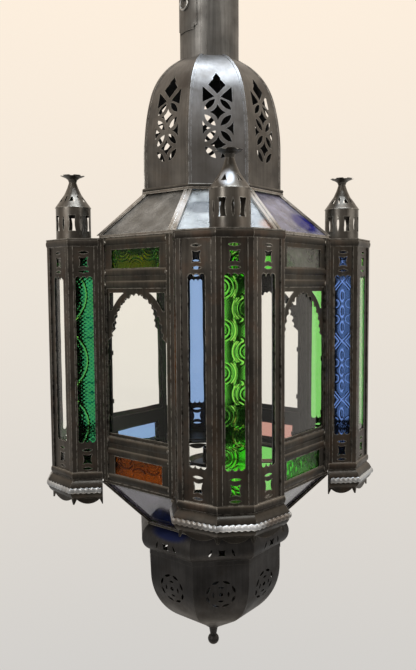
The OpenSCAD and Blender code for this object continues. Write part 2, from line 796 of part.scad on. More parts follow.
// part of a ring, s thick inside r, between two angles less than a half turn apart
module sector(r, s, from, to) {
    mid = (from + to) / 2;
    long = r * 1.5 / cos((to - from) / 2);
    intersection() {
        difference() {
            circle(r, $fn = 256);
            circle(r - s, $fn = 256);
        }
        polygon([[0, 0], dir(from) * r * 1.5, dir(mid) * long, dir(to) * r * 1.5]);
    }
}
module gore() {
    difference() {
        union() {
            gore_slice() dome_wall(0, sheet);
            // hems folded over along both edges
            difference() {
                gore_slice() dome_wall(sheet * 0.9, sheet);
                gore_zone(hem);
            }
        }
        pierce(neck_radius / 2, dome_reach * 2) translate([0, dome_foot]) gore_pattern();
        translate([0, 0, dome_foot]) cylinder(h = far, r = neck_hole);
    }
}
module gore_zone(gap) {
    translate([0, 0, dome_foot - far / 2]) linear_extrude(far) eighth(gap);
}
module gore_slice() {
    intersection() {
        rotate([90, 0, 0]) linear_extrude(dome_reach, center = true) children();
        gore_zone(tiny);
    }
}
module gore_pattern() {
    half = lattice_pitch / 2;
    bars = lattice_width / 2;
    intersection() {
        translate([-bars, 0]) square([lattice_width, dome_reach * 2]);
        union() {
            for (k = [0:2], s = [-1, 1], v = [-1, 1]) if (!(k == 0 && v < 0) && !(k == 2 && v > 0))
                translate([s * half / 2, lattice_foot + k * lattice_pitch + v * half / 2])
                    rotate([0, 0, s * v * 45]) leaf(petal_length, petal_width);
            for (k = [0, 1]) translate([0, lattice_foot + (k + 0.5) * lattice_pitch]) hollow_diamond(diamond);
            for (s = [-1, 1]) {
                translate([s * half, lattice_foot + lattice_pitch]) hollow_diamond(diamond);
                translate([0, lattice_foot + lattice_pitch * 2])
                    polygon([for (p = wing_shares) [s * p[0] * half, p[1] * half]]);
            }
        }
    }
    translate([0, lattice_foot + lattice_pitch * 2 + lattice_pitch / 12]) difference() {
        polygon([for (p = fleur_shares) [p[0] * fleur_width, p[1] * fleur_height]]);
        for (s = [-1, 1]) translate([s * fleur_width * 0.58, -fleur_height * 0.08]) circle(fleur_width * 0.4);
    }
}
module hollow_diamond(size) {
    rotate([0, 0, 45]) hollow_square(size / sqrt(2), size / sqrt(2), size / 11);
}
module base_ring() {
    ring(roof_top, dome_ring, dome_reach + dome_ring / 2, dome_reach - ring_width / 2);
    octagon_run(-lap) translate([dome_reach + dome_ring / 2, roof_top + dome_ring / 2])
        circle(dome_ring / 2 - tiny);
}

// Collar, lower dome and finial

module collar_roll() {
    roll_x = dome_reach + collar_rise - collar_radius;
    for (z = [collar_top - sheet, bowl_top]) ring(z, sheet, dome_reach + sheet, dome_reach - came_wing);
    difference() {
        octagon_run(-lap) translate([roll_x, collar_top - collar_height / 2]) difference() {
            circle(collar_radius, $fn = 128);
            circle(collar_radius - sheet, $fn = 128);
            translate([dome_reach - roll_x - sheet * 2 - far, -far / 2]) square([far, far]);
        }
        for (z = [collar_top, bowl_top - far]) translate([0, 0, z]) cylinder(h = far, r = dome_reach * 2);
        eight() pierce(dome_reach, dome_reach * 2) collar_slits();
    }
}
module collar_slits() {
    translate([0, collar_top - collar_height * 0.6]) {
        for (s = [-1, 1]) translate([s * dome_reach / 6, 0])
            rotate([0, 0, 90 + s * 20]) leaf(collar_height / 3, slit_width);
        hollow_square(collar_diamond, collar_diamond, collar_diamond / 8);
    }
}
module bowl_wall(s) {
    translate([dome_reach - s, bowl_z - tiny]) square([s, bowl_upright + tiny]);
    translate([bowl_x, bowl_z]) sector(bowl_radius, s, -bowl_turn, 0);
    // straight lower part, with a point lapped into the curve above it
    across = [-cos(bowl_turn), sin(bowl_turn)] * s;
    polygon([[bowl_end_x, bowl_end_z],
             [bowl_end_x, bowl_end_z] + across / 2 + [sin(bowl_turn), cos(bowl_turn)] * lap * 2,
             [bowl_end_x, bowl_end_z] + across,
             [tip_reach - s, tip_z + s], [tip_reach + s / 2, tip_z + s / 3]]);
}
module bowl_body() {
    difference() {
        union() {
            octagon_run(tiny) bowl_wall(sheet);
            translate([0, 0, tip_z]) linear_extrude(plate) octagon(tip_reach + sheet);
            // plain border under the collar
            ring(bowl_top - hem * 2, hem * 2, dome_reach + sheet * 0.8, dome_reach - sheet);
        }
        eight() pierce(bowl_end_x, dome_reach * 2) translate([0, bowl_top - rosette_drop]) rosette();
        translate([0, 0, tip_z - plate]) cylinder(h = plate * 3, r = shank + hinge_play);
    }
}
module rosette() {
    for (k = [0:7]) rotate([0, 0, (k + 0.5) * 45]) translate([rosette_radius, 0]) rotate([0, 0, 90])
        leaf(rosette_radius * 0.62, rosette_leaf);
    for (k = [0:3]) rotate([0, 0, k * 90]) translate([rosette_radius * 0.55, 0]) rotate([0, 0, 90])
        leaf(rosette_radius * 0.45, rosette_leaf * 0.8);
    circle(slit_width);
}
module finial_body() {
    translate([0, 0, tip_z]) {
        translate([0, 0, -plate * 2]) cylinder(h = plate * 5, r = shank);
        translate([0, 0, plate]) cylinder(h = plate, r = shank * 1.7);
        translate([0, 0, -plate]) cylinder(h = plate, r = ball_radius * 0.85);
        translate([0, 0, -plate - tip_neck])
            cylinder(h = tip_neck, r1 = shank * 1.3, r2 = ball_radius * 0.85);
        translate([0, 0, -plate - tip_neck - ball_radius * 0.8]) sphere(ball_radius);
    }
}

// Neck, straps and eye

module tube_wall() {
    low = dome_top - neck_tuck;
    difference() {
        union() {
            translate([0, 0, low]) cylinder(h = neck_top - low, r = neck_radius);
            // lap of the seam, left of the front
            rotate([0, 0, seam_angle]) translate([0, 0, dome_top + sheet]) rotate_extrude(angle = seam_turn)
                translate([neck_radius - sheet / 2, 0]) square([sheet * 1.2, neck_length - sheet * 4]);
        }
        translate([0, 0, low - plate]) cylinder(h = neck_length * 2, r = neck_radius - sheet);
        for (a = [0, 180]) rotate([0, 0, strap_angle + a]) strap_rivet_points()
            rotate([0, 90, 0]) cylinder(h = neck_radius, r = hinge_pin + hinge_play, center = true);
    }
}
module strap_rivet_points() {
    for (s = [-1, 1], z = [0.08, 0.92]) rotate([0, 0, s * strap_turn * 0.38])
        translate([neck_radius, 0, dome_top + strap_foot + strap_height * z]) children();
}
module strap() {
    inner = neck_radius + apart;
    translate([0, 0, dome_top + strap_foot]) difference() {
        rotate([0, 0, -strap_turn / 2]) rotate_extrude(angle = strap_turn)
            translate([inner, 0]) square([sheet, strap_height]);
        // rounded lower corners
        for (s = [-1, 1]) rotate([0, 0, s * strap_turn / 2]) translate([neck_radius * 0.8, 0, 0])
            rotate([0, 90, 0]) cylinder(h = neck_radius * 0.4, r = came_wing * 0.9);
    }
    strap_rivet_points() rotate([0, 90, 0]) {
        translate([0, 0, -sheet * 2.5]) cylinder(h = sheet * 4, r = hinge_pin);
        translate([0, 0, sheet * 1.2]) cylinder(h = sheet, r = hinge_pin * 1.7);
    }
    // staple loop, its ends through the strap
    translate([inner + sheet / 2, 0, staple_z]) rotate([90, 0, 0]) rotate([0, 0, -90])
        rotate_extrude(angle = 180) translate([staple_radius, 0]) circle(wire);
}
module strap_ring() {
    translate([hang_x, 0, hang_z - ring_radius]) rotate([0, 90, 0]) rotate_extrude()
        translate([ring_radius, 0]) circle(wire);
}
module cap_shell() {
    skirt = came_wing;
    r = neck_radius + apart;
    difference() {
        translate([0, 0, neck_top]) rotate_extrude() polygon([
            [r + sheet, -skirt], [r + sheet, plate], [eye_radius, cap_rise],
            [0, cap_rise], [0, cap_rise - sheet * 1.5],
            [eye_radius, cap_rise - sheet * 1.5], [r - sheet * 3, 0], [r, 0], [r, -skirt]]);
        translate([0, 0, neck_top]) cylinder(h = far / 4, r = shank + hinge_play);
    }
}
module eye_lug() {
    translate([0, 0, eye_z]) difference() {
        union() {
            rotate([90, 0, 0]) cylinder(h = eye_thick, r = eye_radius, center = true);
            translate([-eye_radius, -eye_thick / 2, -eye_radius - plate / 2])
                cube([eye_radius * 2, eye_thick, eye_radius]);
            translate([0, 0, -eye_radius - plate]) cylinder(h = plate, r = eye_radius);
        }
        rotate([90, 0, 0]) cylinder(h = eye_thick * 2, r = eye_bore, center = true);
    }
    // riveted shank through the cap
    translate([0, 0, cap_top - sheet * 3]) cylinder(h = sheet * 3 + plate / 2, r = shank);
    translate([0, 0, cap_top - sheet * 3.5]) cylinder(h = sheet * 2, r = shank * 2);
}

// Candle holder

module holder_body() {
    // reaches between the closing plates of the left and right skirts, and lies on the belly frame's ring
    length = (core_reach - (post_wing + panel_depth) / sqrt(2) - apart) * 2;
    translate([-length / 2, -bar_width / 2, -plate]) cube([length, bar_width, plate]);
    translate([0, 0, -plate / 2]) rotate_extrude() polygon([
        [0, 0], [dish_radius * 0.8, 0], [dish_radius, socket_height * 0.3],
        [dish_radius - sheet, socket_height * 0.3],
        [dish_radius * 0.8 - sheet, plate + sheet], [socket_radius + sheet, plate + sheet],
        [socket_radius + sheet, socket_height], [socket_radius, socket_height],
        [socket_radius, plate + sheet],
        [0, plate + sheet]]);
}

// Sub-parts

module hang_eye() { color(tin) at(0) eye_lug(); }
module neck_cap() { color(tin) at(0) cap_shell(); }
module neck_tube() { color(tin) at(0) tube_wall(); }
module strap_left() { color(tin) at(strap_angle) strap(); }
module strap_right() { color(tin) at(strap_angle + 180) strap(); }
module strap_ring_left() { color(silver) at(strap_angle) strap_ring(); }
module strap_ring_right() { color(silver) at(strap_angle + 180) strap_ring(); }
module dome_gore_1() { color(silver) at(270) gore(); }
module dome_gore_2() { color(tin) at(315) gore(); }
module dome_gore_3() { color(tin) at(0) gore(); }
module dome_gore_4() { color(tin) at(45) gore(); }
module dome_gore_5() { color(tin) at(90) gore(); }
module dome_gore_6() { color(tin) at(135) gore(); }
module dome_gore_7() { color(tin) at(180) gore(); }
module dome_gore_8() { color(tin) at(225) gore(); }
module dome_base() { color(silver) at(0) base_ring(); }
module roof_frame() { color(silver) over_body() slope_frame(roof_rise); }
module roof_panes() { color(clear) over_body() slope_panes(roof_rise); }
module turret_drum_front() { color(tin) at(270) turret_drum(); }
module turret_drum_right() { color(tin) at(0) turret_drum(); }
module turret_drum_back() { color(tin) at(90) turret_drum(); }
module turret_drum_left() { color(tin) at(180) turret_drum(); }
module turret_cone_front() { color(silver) at(270) turret_cone(); }
module turret_cone_right() { color(silver) at(0) turret_cone(); }
module turret_cone_back() { color(silver) at(90) turret_cone(); }
module turret_cone_left() { color(silver) at(180) turret_cone(); }
module tower_shell_front() { color(dark_tin) at(270) tower_shell(); }
module tower_shell_right() { color(dark_tin) at(0) tower_shell(); }
module tower_shell_back() { color(dark_tin) at(90) tower_shell(); }
module tower_shell_left() { color(dark_tin) at(180) tower_shell(); }
module tower_panes_front() { color(green) at(270) tower_panes(); }
module tower_panes_right() { color(green) at(0) tower_panes(); }
module tower_panes_back() { color(green) at(90) tower_panes(); }
module tower_panes_left() { color(green) at(180) tower_panes(); }
module tower_skirt_front() { color(dark_tin) at(270) tower_skirt(); }
module tower_skirt_right() { color(dark_tin) at(0) tower_skirt(); }
module tower_skirt_back() { color(dark_tin) at(90) tower_skirt(); }
module tower_skirt_left() { color(dark_tin) at(180) tower_skirt(); }
module panel_frame_front_right() { color(dark_tin) at(315) fixed_frame(); }
module panel_frame_back_left() { color(dark_tin) at(135) fixed_frame(); }
module panel_frame_front_left() { color(dark_tin) at(225) fixed_frame(); }
module arch_plate_front_right() { color(tin) at(315) in_panel() arch_plate(); }
module arch_plate_back_left() { color(tin) at(135) in_panel() arch_plate(); }
module arch_plate_front_left() { color(tin) at(225) in_panel() arch_plate(); }
module panel_panes_front_right() { color(clear) at(315) in_panel() panel_panes(); }
module panel_panes_back_left() { color(clear) at(135) in_panel() panel_panes(); }
module panel_panes_front_left() { color(clear) at(225) in_panel() panel_panes(); }
module door_leaf() { color(dark_tin) at(45) leaf_body(); }
module door_arch_plate() { color(tin) at(45) in_panel() arch_plate(); }
module door_panes() { color(clear) at(45) in_panel() panel_panes(); }
module hinge_plates() { color(tin) at(45) fixed_knuckles(); }
module door_pins() { color(silver) at(45) pins_and_rivet(); }
module turn_button() { color(silver) at(45) button_body(); }
module belly_frame() { color(dark_tin) under_body() slope_frame(belly_rise); }
module belly_panes() { color(clear) under_body() slope_panes(belly_rise); }
module belly_collar() { color(dark_tin) at(0) collar_roll(); }
module belly_dome() { color(dark_tin) at(0) bowl_body(); }
module bottom_finial() { color(dark_tin) at(0) finial_body(); }
module candle_holder() { color(tin) at(0) holder_body(); }

hang_eye();
neck_cap();
neck_tube();
strap_left();
strap_right();
strap_ring_left();
strap_ring_right();
dome_gore_1();
dome_gore_2();
dome_gore_3();
dome_gore_4();
dome_gore_5();
dome_gore_6();
dome_gore_7();
dome_gore_8();
dome_base();
roof_frame();
roof_panes();
turret_drum_front();
turret_drum_right();
turret_drum_back();
turret_drum_left();
turret_cone_front();
turret_cone_right();
turret_cone_back();
turret_cone_left();
tower_shell_front();
tower_shell_right();
tower_shell_back();
tower_shell_left();
tower_panes_front();
tower_panes_right();
tower_panes_back();
tower_panes_left();
tower_skirt_front();
tower_skirt_right();
tower_skirt_back();
tower_skirt_left();
panel_frame_front_right();
panel_frame_back_left();
panel_frame_front_left();
arch_plate_front_right();
arch_plate_back_left();
arch_plate_front_left();
panel_panes_front_right();
panel_panes_back_left();
panel_panes_front_left();
door_leaf();
door_arch_plate();
door_panes();
hinge_plates();
door_pins();
turn_button();
belly_frame();
belly_panes();
belly_collar();
belly_dome();
bottom_finial();
candle_holder();
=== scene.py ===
import bpy
import math
import numpy as np
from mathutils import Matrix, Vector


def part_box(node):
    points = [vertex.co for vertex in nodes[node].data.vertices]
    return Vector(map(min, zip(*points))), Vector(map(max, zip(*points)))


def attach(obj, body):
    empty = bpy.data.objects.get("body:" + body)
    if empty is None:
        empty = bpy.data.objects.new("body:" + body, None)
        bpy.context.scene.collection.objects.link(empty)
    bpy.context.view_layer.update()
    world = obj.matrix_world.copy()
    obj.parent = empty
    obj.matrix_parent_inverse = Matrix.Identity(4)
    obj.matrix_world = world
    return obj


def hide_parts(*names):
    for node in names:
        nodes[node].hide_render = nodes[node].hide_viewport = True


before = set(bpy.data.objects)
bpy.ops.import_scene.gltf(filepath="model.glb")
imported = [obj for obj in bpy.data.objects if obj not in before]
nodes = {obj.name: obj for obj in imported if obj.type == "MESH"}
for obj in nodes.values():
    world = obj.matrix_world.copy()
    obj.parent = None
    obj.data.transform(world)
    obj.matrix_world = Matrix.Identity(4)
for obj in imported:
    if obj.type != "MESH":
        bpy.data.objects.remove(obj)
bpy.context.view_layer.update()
print("frame loaded:", len(nodes), "nodes")

mm = 0.001  # lengths below are in millimetres and turn to metres when they enter a mesh

# The lantern's own driving sizes, as in the CAD. Heights count from the foot of the glazed body, and a reach is
# the distance from the axis to a face.
lantern = {
    "bodyHeight": 280, "coreReach": 137, "slopeReach": 134, "domeReach": 81, "roofRise": 55.5, "bellyRise": 63,
    "towerWidth": 108, "towerSide": 34, "towerNose": 27, "noseWidth": 36,
    "sheet": 0.8, "plate": 1.2, "pane": 2.0, "panePlay": 0.2, "paneInset": 3.2,
    "postWing": 6, "cameRise": 1.4, "cameWing": 5, "railCame": 8, "ringThick": 3, "hipGap": 2,
}
halfTurn = math.pi / 8  # half of one side of the octagon
eyeHeight = -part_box("tower_shell_front")[0].z / mm  # the eye's bore above the body's foot
rimTop = lantern["bodyHeight"] + lantern["plate"]
towerAngles = {"front": 270, "right": 0, "back": 90, "left": 180}
panelAngles = {"front_right": 315, "back_right": 45, "back_left": 135, "front_left": 225}


def linear(hexColour, share=1.0):
    # sRGB hex to linear: each channel through the sRGB curve, then times share
    channels = [int(hexColour[i:i + 2], 16) / 255 for i in (0, 2, 4)]
    curved = [c / 12.92 if c <= 0.04045 else ((c + 0.055) / 1.055) ** 2.4 for c in channels]
    return tuple(c * share for c in curved) + (1.0,)


def addNode(tree, kind, values=None, links=None, **settings):
    # a shader node with its sockets' values, its incoming links and its own settings
    node = tree.nodes.new(kind)
    for name, value in settings.items():
        setattr(node, name, value)
    for socket, value in (values or {}).items():
        node.inputs[socket].default_value = value
    for socket, source in (links or {}).items():
        tree.links.new(source, node.inputs[socket])
    return node


def addRamp(tree, factor, stops):
    # stops: (position, linear colour) pairs along the factor
    ramp = addNode(tree, "ShaderNodeValToRGB", links={"Fac": factor})
    ramp.color_ramp.elements[0].position, ramp.color_ramp.elements[0].color = stops[0]
    ramp.color_ramp.elements[1].position, ramp.color_ramp.elements[1].color = stops[-1]
    for position, colour in stops[1:-1]:
        ramp.color_ramp.elements.new(position).color = colour
    return ramp.outputs["Color"]


def addNoise(tree, place, size, detail=2, roughness=0.5):
    # soft noise with blotches about size mm wide
    settings = {"Scale": 1 / size, "Detail": detail, "Roughness": roughness}
    return addNode(tree, "ShaderNodeTexNoise", settings, {"Vector": place}).outputs["Fac"]


def addShare(tree, value, span, low=0.0, high=1.0, **settings):
    # low where value is at the span's first number, high at its second, held level outside the span
    sockets = {"From Min": span[0], "From Max": span[1], "To Min": low, "To Max": high}
    return addNode(tree, "ShaderNodeMapRange", sockets, {"Value": value}, **settings).outputs[0]


def laidOver(tree, share, under, over):
    # (1 - share) under + share over; over is a fixed linear colour
    mixed = addNode(tree, "ShaderNodeMix", {7: over}, {"Factor": share, 6: under}, data_type="RGBA")
    return mixed.outputs[2]


def addVectorMath(tree, operation, first, second=None, fixed=None):
    # first and second are sockets, and fixed is a vector that stands in for second
    values = {1: fixed} if fixed else {}
    links = {0: first, 1: second} if second else {0: first}
    return addNode(tree, "ShaderNodeVectorMath", values, links, operation=operation)


def addBump(tree, strength, depth, links):
    # dents of depth mm where the height is 0, on the normal so far where links names one
    settings = {"Strength": strength, "Distance": depth * mm}
    return addNode(tree, "ShaderNodeBump", settings, links).outputs[0]


def newMaterial(name):
    # an empty Principled shader, and the point it shades in the object's own millimetres
    material = bpy.data.materials.new(name)
    material.use_nodes = True
    tree = material.node_tree
    tree.nodes.clear()
    shader = addNode(tree, "ShaderNodeBsdfPrincipled")
    addNode(tree, "ShaderNodeOutputMaterial", links={"Surface": shader.outputs["BSDF"]})
    place = addNode(tree, "ShaderNodeTexCoord").outputs["Object"]
    inMm = addNode(tree, "ShaderNodeVectorMath", {"Scale": 1 / mm}, {0: place}, operation="SCALE").outputs[0]
    return material, tree, shader, inMm


def makeMesh(name, points, quads, triangles=None):
    # points (n, 3) in mm above the body's foot; quads (m, 4) and triangles (k, 3); turned inside out where the
    # volume, a sum of a . (b x c) / 6 over all triangles, is negative
    if triangles is None:
        triangles = np.zeros((0, 3), int)
    split = np.concatenate([quads[:, [0, 1, 2]], quads[:, [0, 2, 3]], triangles])
    a, b, c = (points[split[:, k]] for k in range(3))
    if np.einsum("ij,ij->i", a - points[0], np.cross(b - points[0], c - points[0])).sum() < 0:
        quads, triangles = quads[:, ::-1], triangles[:, ::-1]
    mesh = bpy.data.meshes.new(name)
    mesh.vertices.add(len(points))
    mesh.vertices.foreach_set("co", ((points - [0, 0, eyeHeight]) * mm).astype(np.float32).ravel())
    mesh.loops.add(quads.size + triangles.size)
    mesh.loops.foreach_set("vertex_index", np.concatenate([quads.ravel(), triangles.ravel()]).astype(np.int32))
    mesh.polygons.add(len(quads) + len(triangles))
    mesh.polygons.foreach_set("loop_start", np.concatenate(
        [np.arange(0, quads.size, 4), quads.size + np.arange(0, triangles.size, 3)]).astype(np.int32))
    mesh.update(calc_edges=True)
    mesh.validate()
    piece = bpy.data.objects.new(name, mesh)
    bpy.context.scene.collection.objects.link(piece)
    return piece


def gridQuads(nu, nv, wrapV=False, start=0):
    # quads of a grid of nu by nv points, closed on itself along v where it wraps
    i = np.arange(nu - 1)[:, None]
    j = np.arange(nv if wrapV else nv - 1)[None, :]
    i2, j2 = i + 1, (j + 1) % nv
    return np.stack([i * nv + j, i2 * nv + j, i2 * nv + j2, i * nv + j2], -1).reshape(-1, 4) + start


def slabOf(front, back):
    # closed slab between two grids of the same shape: both skins and a strip along each edge
    nu, nv = front.shape[:2]
    total = nu * nv
    grid = np.arange(total).reshape(nu, nv)
    rim = np.concatenate([grid[:, 0], grid[-1, 1:], grid[-2::-1, -1], grid[0, -2:0:-1]])
    ahead = np.roll(rim, -1)
    strip = np.stack([rim, rim + total, ahead + total, ahead], -1)
    quads = np.concatenate([gridQuads(nu, nv), gridQuads(nu, nv)[:, ::-1] + total, strip])
    return np.concatenate([front.reshape(-1, 3), back.reshape(-1, 3)]), quads


def finishPiece(piece, sharpAngle, material, body, replaced=None):
    # smooth shading up to the sharp angle in degrees, the material, and what the frame has to know
    mesh = piece.data
    mesh.polygons.foreach_set("use_smooth", np.ones(len(mesh.polygons), bool))
    mesh.set_sharp_from_angle(angle=math.radians(sharpAngle))
    mesh.materials.append(material)
    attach(piece, body)
    if replaced:
        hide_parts(replaced)


def turned(points, degrees):
    # turned about the axis: x cos a - y sin a, x sin a + y cos a, z
    a = math.radians(degrees)
    x, y = points[..., 0], points[..., 1]
    return np.stack([x * math.cos(a) - y * math.sin(a), x * math.sin(a) + y * math.cos(a), points[..., 2]], -1)


def heading(degrees):
    # unit vector in plan: cos a, sin a
    return np.array([math.cos(math.radians(degrees)), math.sin(math.radians(degrees))])


def spot(tree, inMm, centre, radii, softness=0.45):
    # 1 inside an ellipsoid and 0 outside it: 1 - smoothstep(|(p - centre) / radii|); centre above the body's foot
    shifted = addVectorMath(tree, "SUBTRACT", inMm, fixed=(centre[0], centre[1], centre[2] - eyeHeight))
    shares = addVectorMath(tree, "DIVIDE", shifted.outputs[0], fixed=radii)
    far = addVectorMath(tree, "LENGTH", shares.outputs[0])
    return addShare(tree, far.outputs["Value"], (1 - softness, 1.0), 1.0, 0.0, interpolation_type="SMOOTHSTEP")


def stainedAndPaintedLight(tree, inMm, colour, stainsAndPaintedLight):
    # lays each spot (colour, centre, radii, strength) over the colour so far: stains, and painted highlights,
    # shade and reflections
    for hexColour, centre, radii, strength in stainsAndPaintedLight:
        inside = spot(tree, inMm, centre, radii)
        weight = addNode(tree, "ShaderNodeMath", {1: strength}, {0: inside}, operation="MULTIPLY")
        colour = laidOver(tree, weight.outputs[0], colour, linear(hexColour))
    return colour


# Tinplate is thin steel with a tin skin, here gone grey-brown and nearly smooth. dark and light are the tones of
# the patina, rust the brown that shows through, up to rustDepth, and rubbed the bare tin along worn edges, up to
# wear. streak is the strength of the water marks, and two more strengths give the pale dust with painted top
# light on what faces up and the painted shade of the lantern's inside on what looks at the axis.
tinFinishes = {
    "frameTin": {"dark": "302e2a", "light": "4b4740", "rust": "553f2e", "rustDepth": 0.32, "rubbed": "b4afa6",
                 "roughness": 0.36, "wear": 0.9, "streak": 0.35, "dustAndTopLight": 0.6, "insideShade": 0.8},
    "shellTin": {"dark": "322f2b", "light": "504b45", "rust": "573f2e", "rustDepth": 0.30, "rubbed": "bab5ac",
                 "roughness": 0.36, "wear": 0.9, "streak": 0.38, "dustAndTopLight": 0.6, "insideShade": 0.8,
                 "stainsAndPaintedLight": [("8f5a2c", (-55, -152, 150), (6, 16, 90), 0.8),
                            ("4a3826", (-19, -198, 60), (6, 6, 60), 0.3)]},
    # the skirt's darker tones are painted shade under the rope bead
    "skirtPaintedShadeTin": {"dark": "272522", "light": "403c37", "rust": "4a392b", "rustDepth": 0.30, "rubbed": "8f8a82",
                 "roughness": 0.36, "wear": 0.45, "streak": 0.25, "dustAndTopLight": 0.1},
    "domeTin": {"dark": "4c4946", "light": "74706b", "rust": "5c4f42", "rustDepth": 0.28, "rubbed": "b9b5ae",
                "roughness": 0.42, "wear": 0.55, "streak": 0.22, "insideShade": 0.8},
    # front gore: a lighter, bluer copy of domeTin, a painted sheen of the window light above; its spot is painted
    # shade lower on the gore, so that the sheen fades downward
    "frontGorePaintedSheenTin": {"dark": "6b6a69", "light": "97989b", "rust": "6a6056", "rustDepth": 0.18, "rubbed": "ccd2da",
                     "roughness": 0.37, "wear": 0.60, "streak": 0.18, "insideShade": 0.8,
                     "stainsAndPaintedLight": [("5c5854", (0, -81, 345), (60, 40, 70), 0.45)]},
    "neckTin": {"dark": "4e4d4b", "light": "7a7875", "rust": "5a5046", "rustDepth": 0.22, "rubbed": "aaa7a2",
                "roughness": 0.46, "wear": 0.45, "streak": 0.35},
    "turretTin": {"dark": "45423e", "light": "716d67", "rust": "56483b", "rustDepth": 0.28, "rubbed": "c4c0b8",
                  "roughness": 0.34, "wear": 0.65, "streak": 0.25,
                  # a painted highlight on the front turret's cone
                  "stainsAndPaintedLight": [("c9ced6", (-6, -187, 333), (11, 16, 12), 0.6)]},
    "cameTin": {"dark": "6b6762", "light": "aaa59e", "rust": "6b5342", "rustDepth": 0.40, "rubbed": "e8e5df",
                "roughness": 0.28, "wear": 0.95, "streak": 0.25,
                # painted highlights on the two front hips of the roof
                "stainsAndPaintedLight": [("e6e6e8", (-44, -107, 309), (20, 36, 36), 0.75),
                           ("e6e6e8", (44, -107, 309), (20, 36, 36), 0.75)]},
    # belly: its dark tones are painted shade under the lantern, and the navy spot is a painted reflection of blue
    # glass on the collar
    "bellyPaintedShadeTin": {"dark": "2a2929", "light": "454444", "rust": "332d28", "rustDepth": 0.30, "rubbed": "5f5d5a",
                 "roughness": 0.46, "wear": 0.45, "streak": 0.25,
                 "stainsAndPaintedLight": [("0f1c46", (-62, -66, -66), (34, 34, 12), 0.9)]},
    "ropeTin": {"dark": "8a8a8a", "light": "d2d6da", "rust": "7a6450", "rustDepth": 0.35, "rubbed": "e6e8ea",
                "roughness": 0.42, "wear": 0.10, "streak": 0.20,
                # painted highlight on the front of the rope and painted shade on its two sides
                "stainsAndPaintedLight": [("f2f5f9", (2, -204, -12), (24, 12, 9), 0.9),
                           ("5f5348", (42, -180, -13), (26, 30, 8), 0.8),
                           ("6d6760", (-44, -180, -13), (27, 30, 8), 0.8)]},
    "wireTin": {"dark": "8d8c89", "light": "c8c8c6", "rust": "6a5a48", "rustDepth": 0.30, "rubbed": "e2e2e0",
                "roughness": 0.26, "wear": 0.40, "streak": 0.10},
    "solder": {"dark": "57544f", "light": "8a867e", "rust": "5d5145", "rustDepth": 0.35, "rubbed": "a8a49b",
               "roughness": 0.36, "wear": 0.10, "streak": 0.10},
}
# How every finish is laid on. Sizes are in mm; a span says where in its noise, slope or angle a layer starts
# and where it is full.
tinLayers = {
    "blotchSize": 42, "blotchSpan": (0.32, 0.70),
    "streakScale": (1 / 3, 1 / 3, 1 / 70), "streakSpan": (0.36, 0.66),
    "streakDark": (0.45, 0.43, 0.40, 1), "streakPale": (1.5, 1.48, 1.45, 1),
    # dust is the pale colour on what faces up: dust and painted top light in one
    "rustSize": 24, "rustGrain": 0.6, "rustSpan": (0.50, 0.66), "dust": "a1998e", "dustSpan": (0.25, 0.75),
    "edgeRadius": 1.3, "edgeSamples": 4, "edgeSpan": (0.985, 0.87), "edgeGrain": 5, "grainSpan": (0.36, 0.54),
    # the colour and span of the painted shade on faces that look at the axis, the lantern's inside
    "insideShade": "20252a", "insideShadeSpan": (-0.25, -0.6), "metallic": 0.85,
    "roughSpan": (0.3, 0.7), "smoother": 0.08, "rougher": 0.14,
    "dentSize": 18, "dentDepth": 0.8, "dentStrength": 0.45,
    "grainSize": 1.5, "grainDepth": 0.08, "grainStrength": 0.18,
}


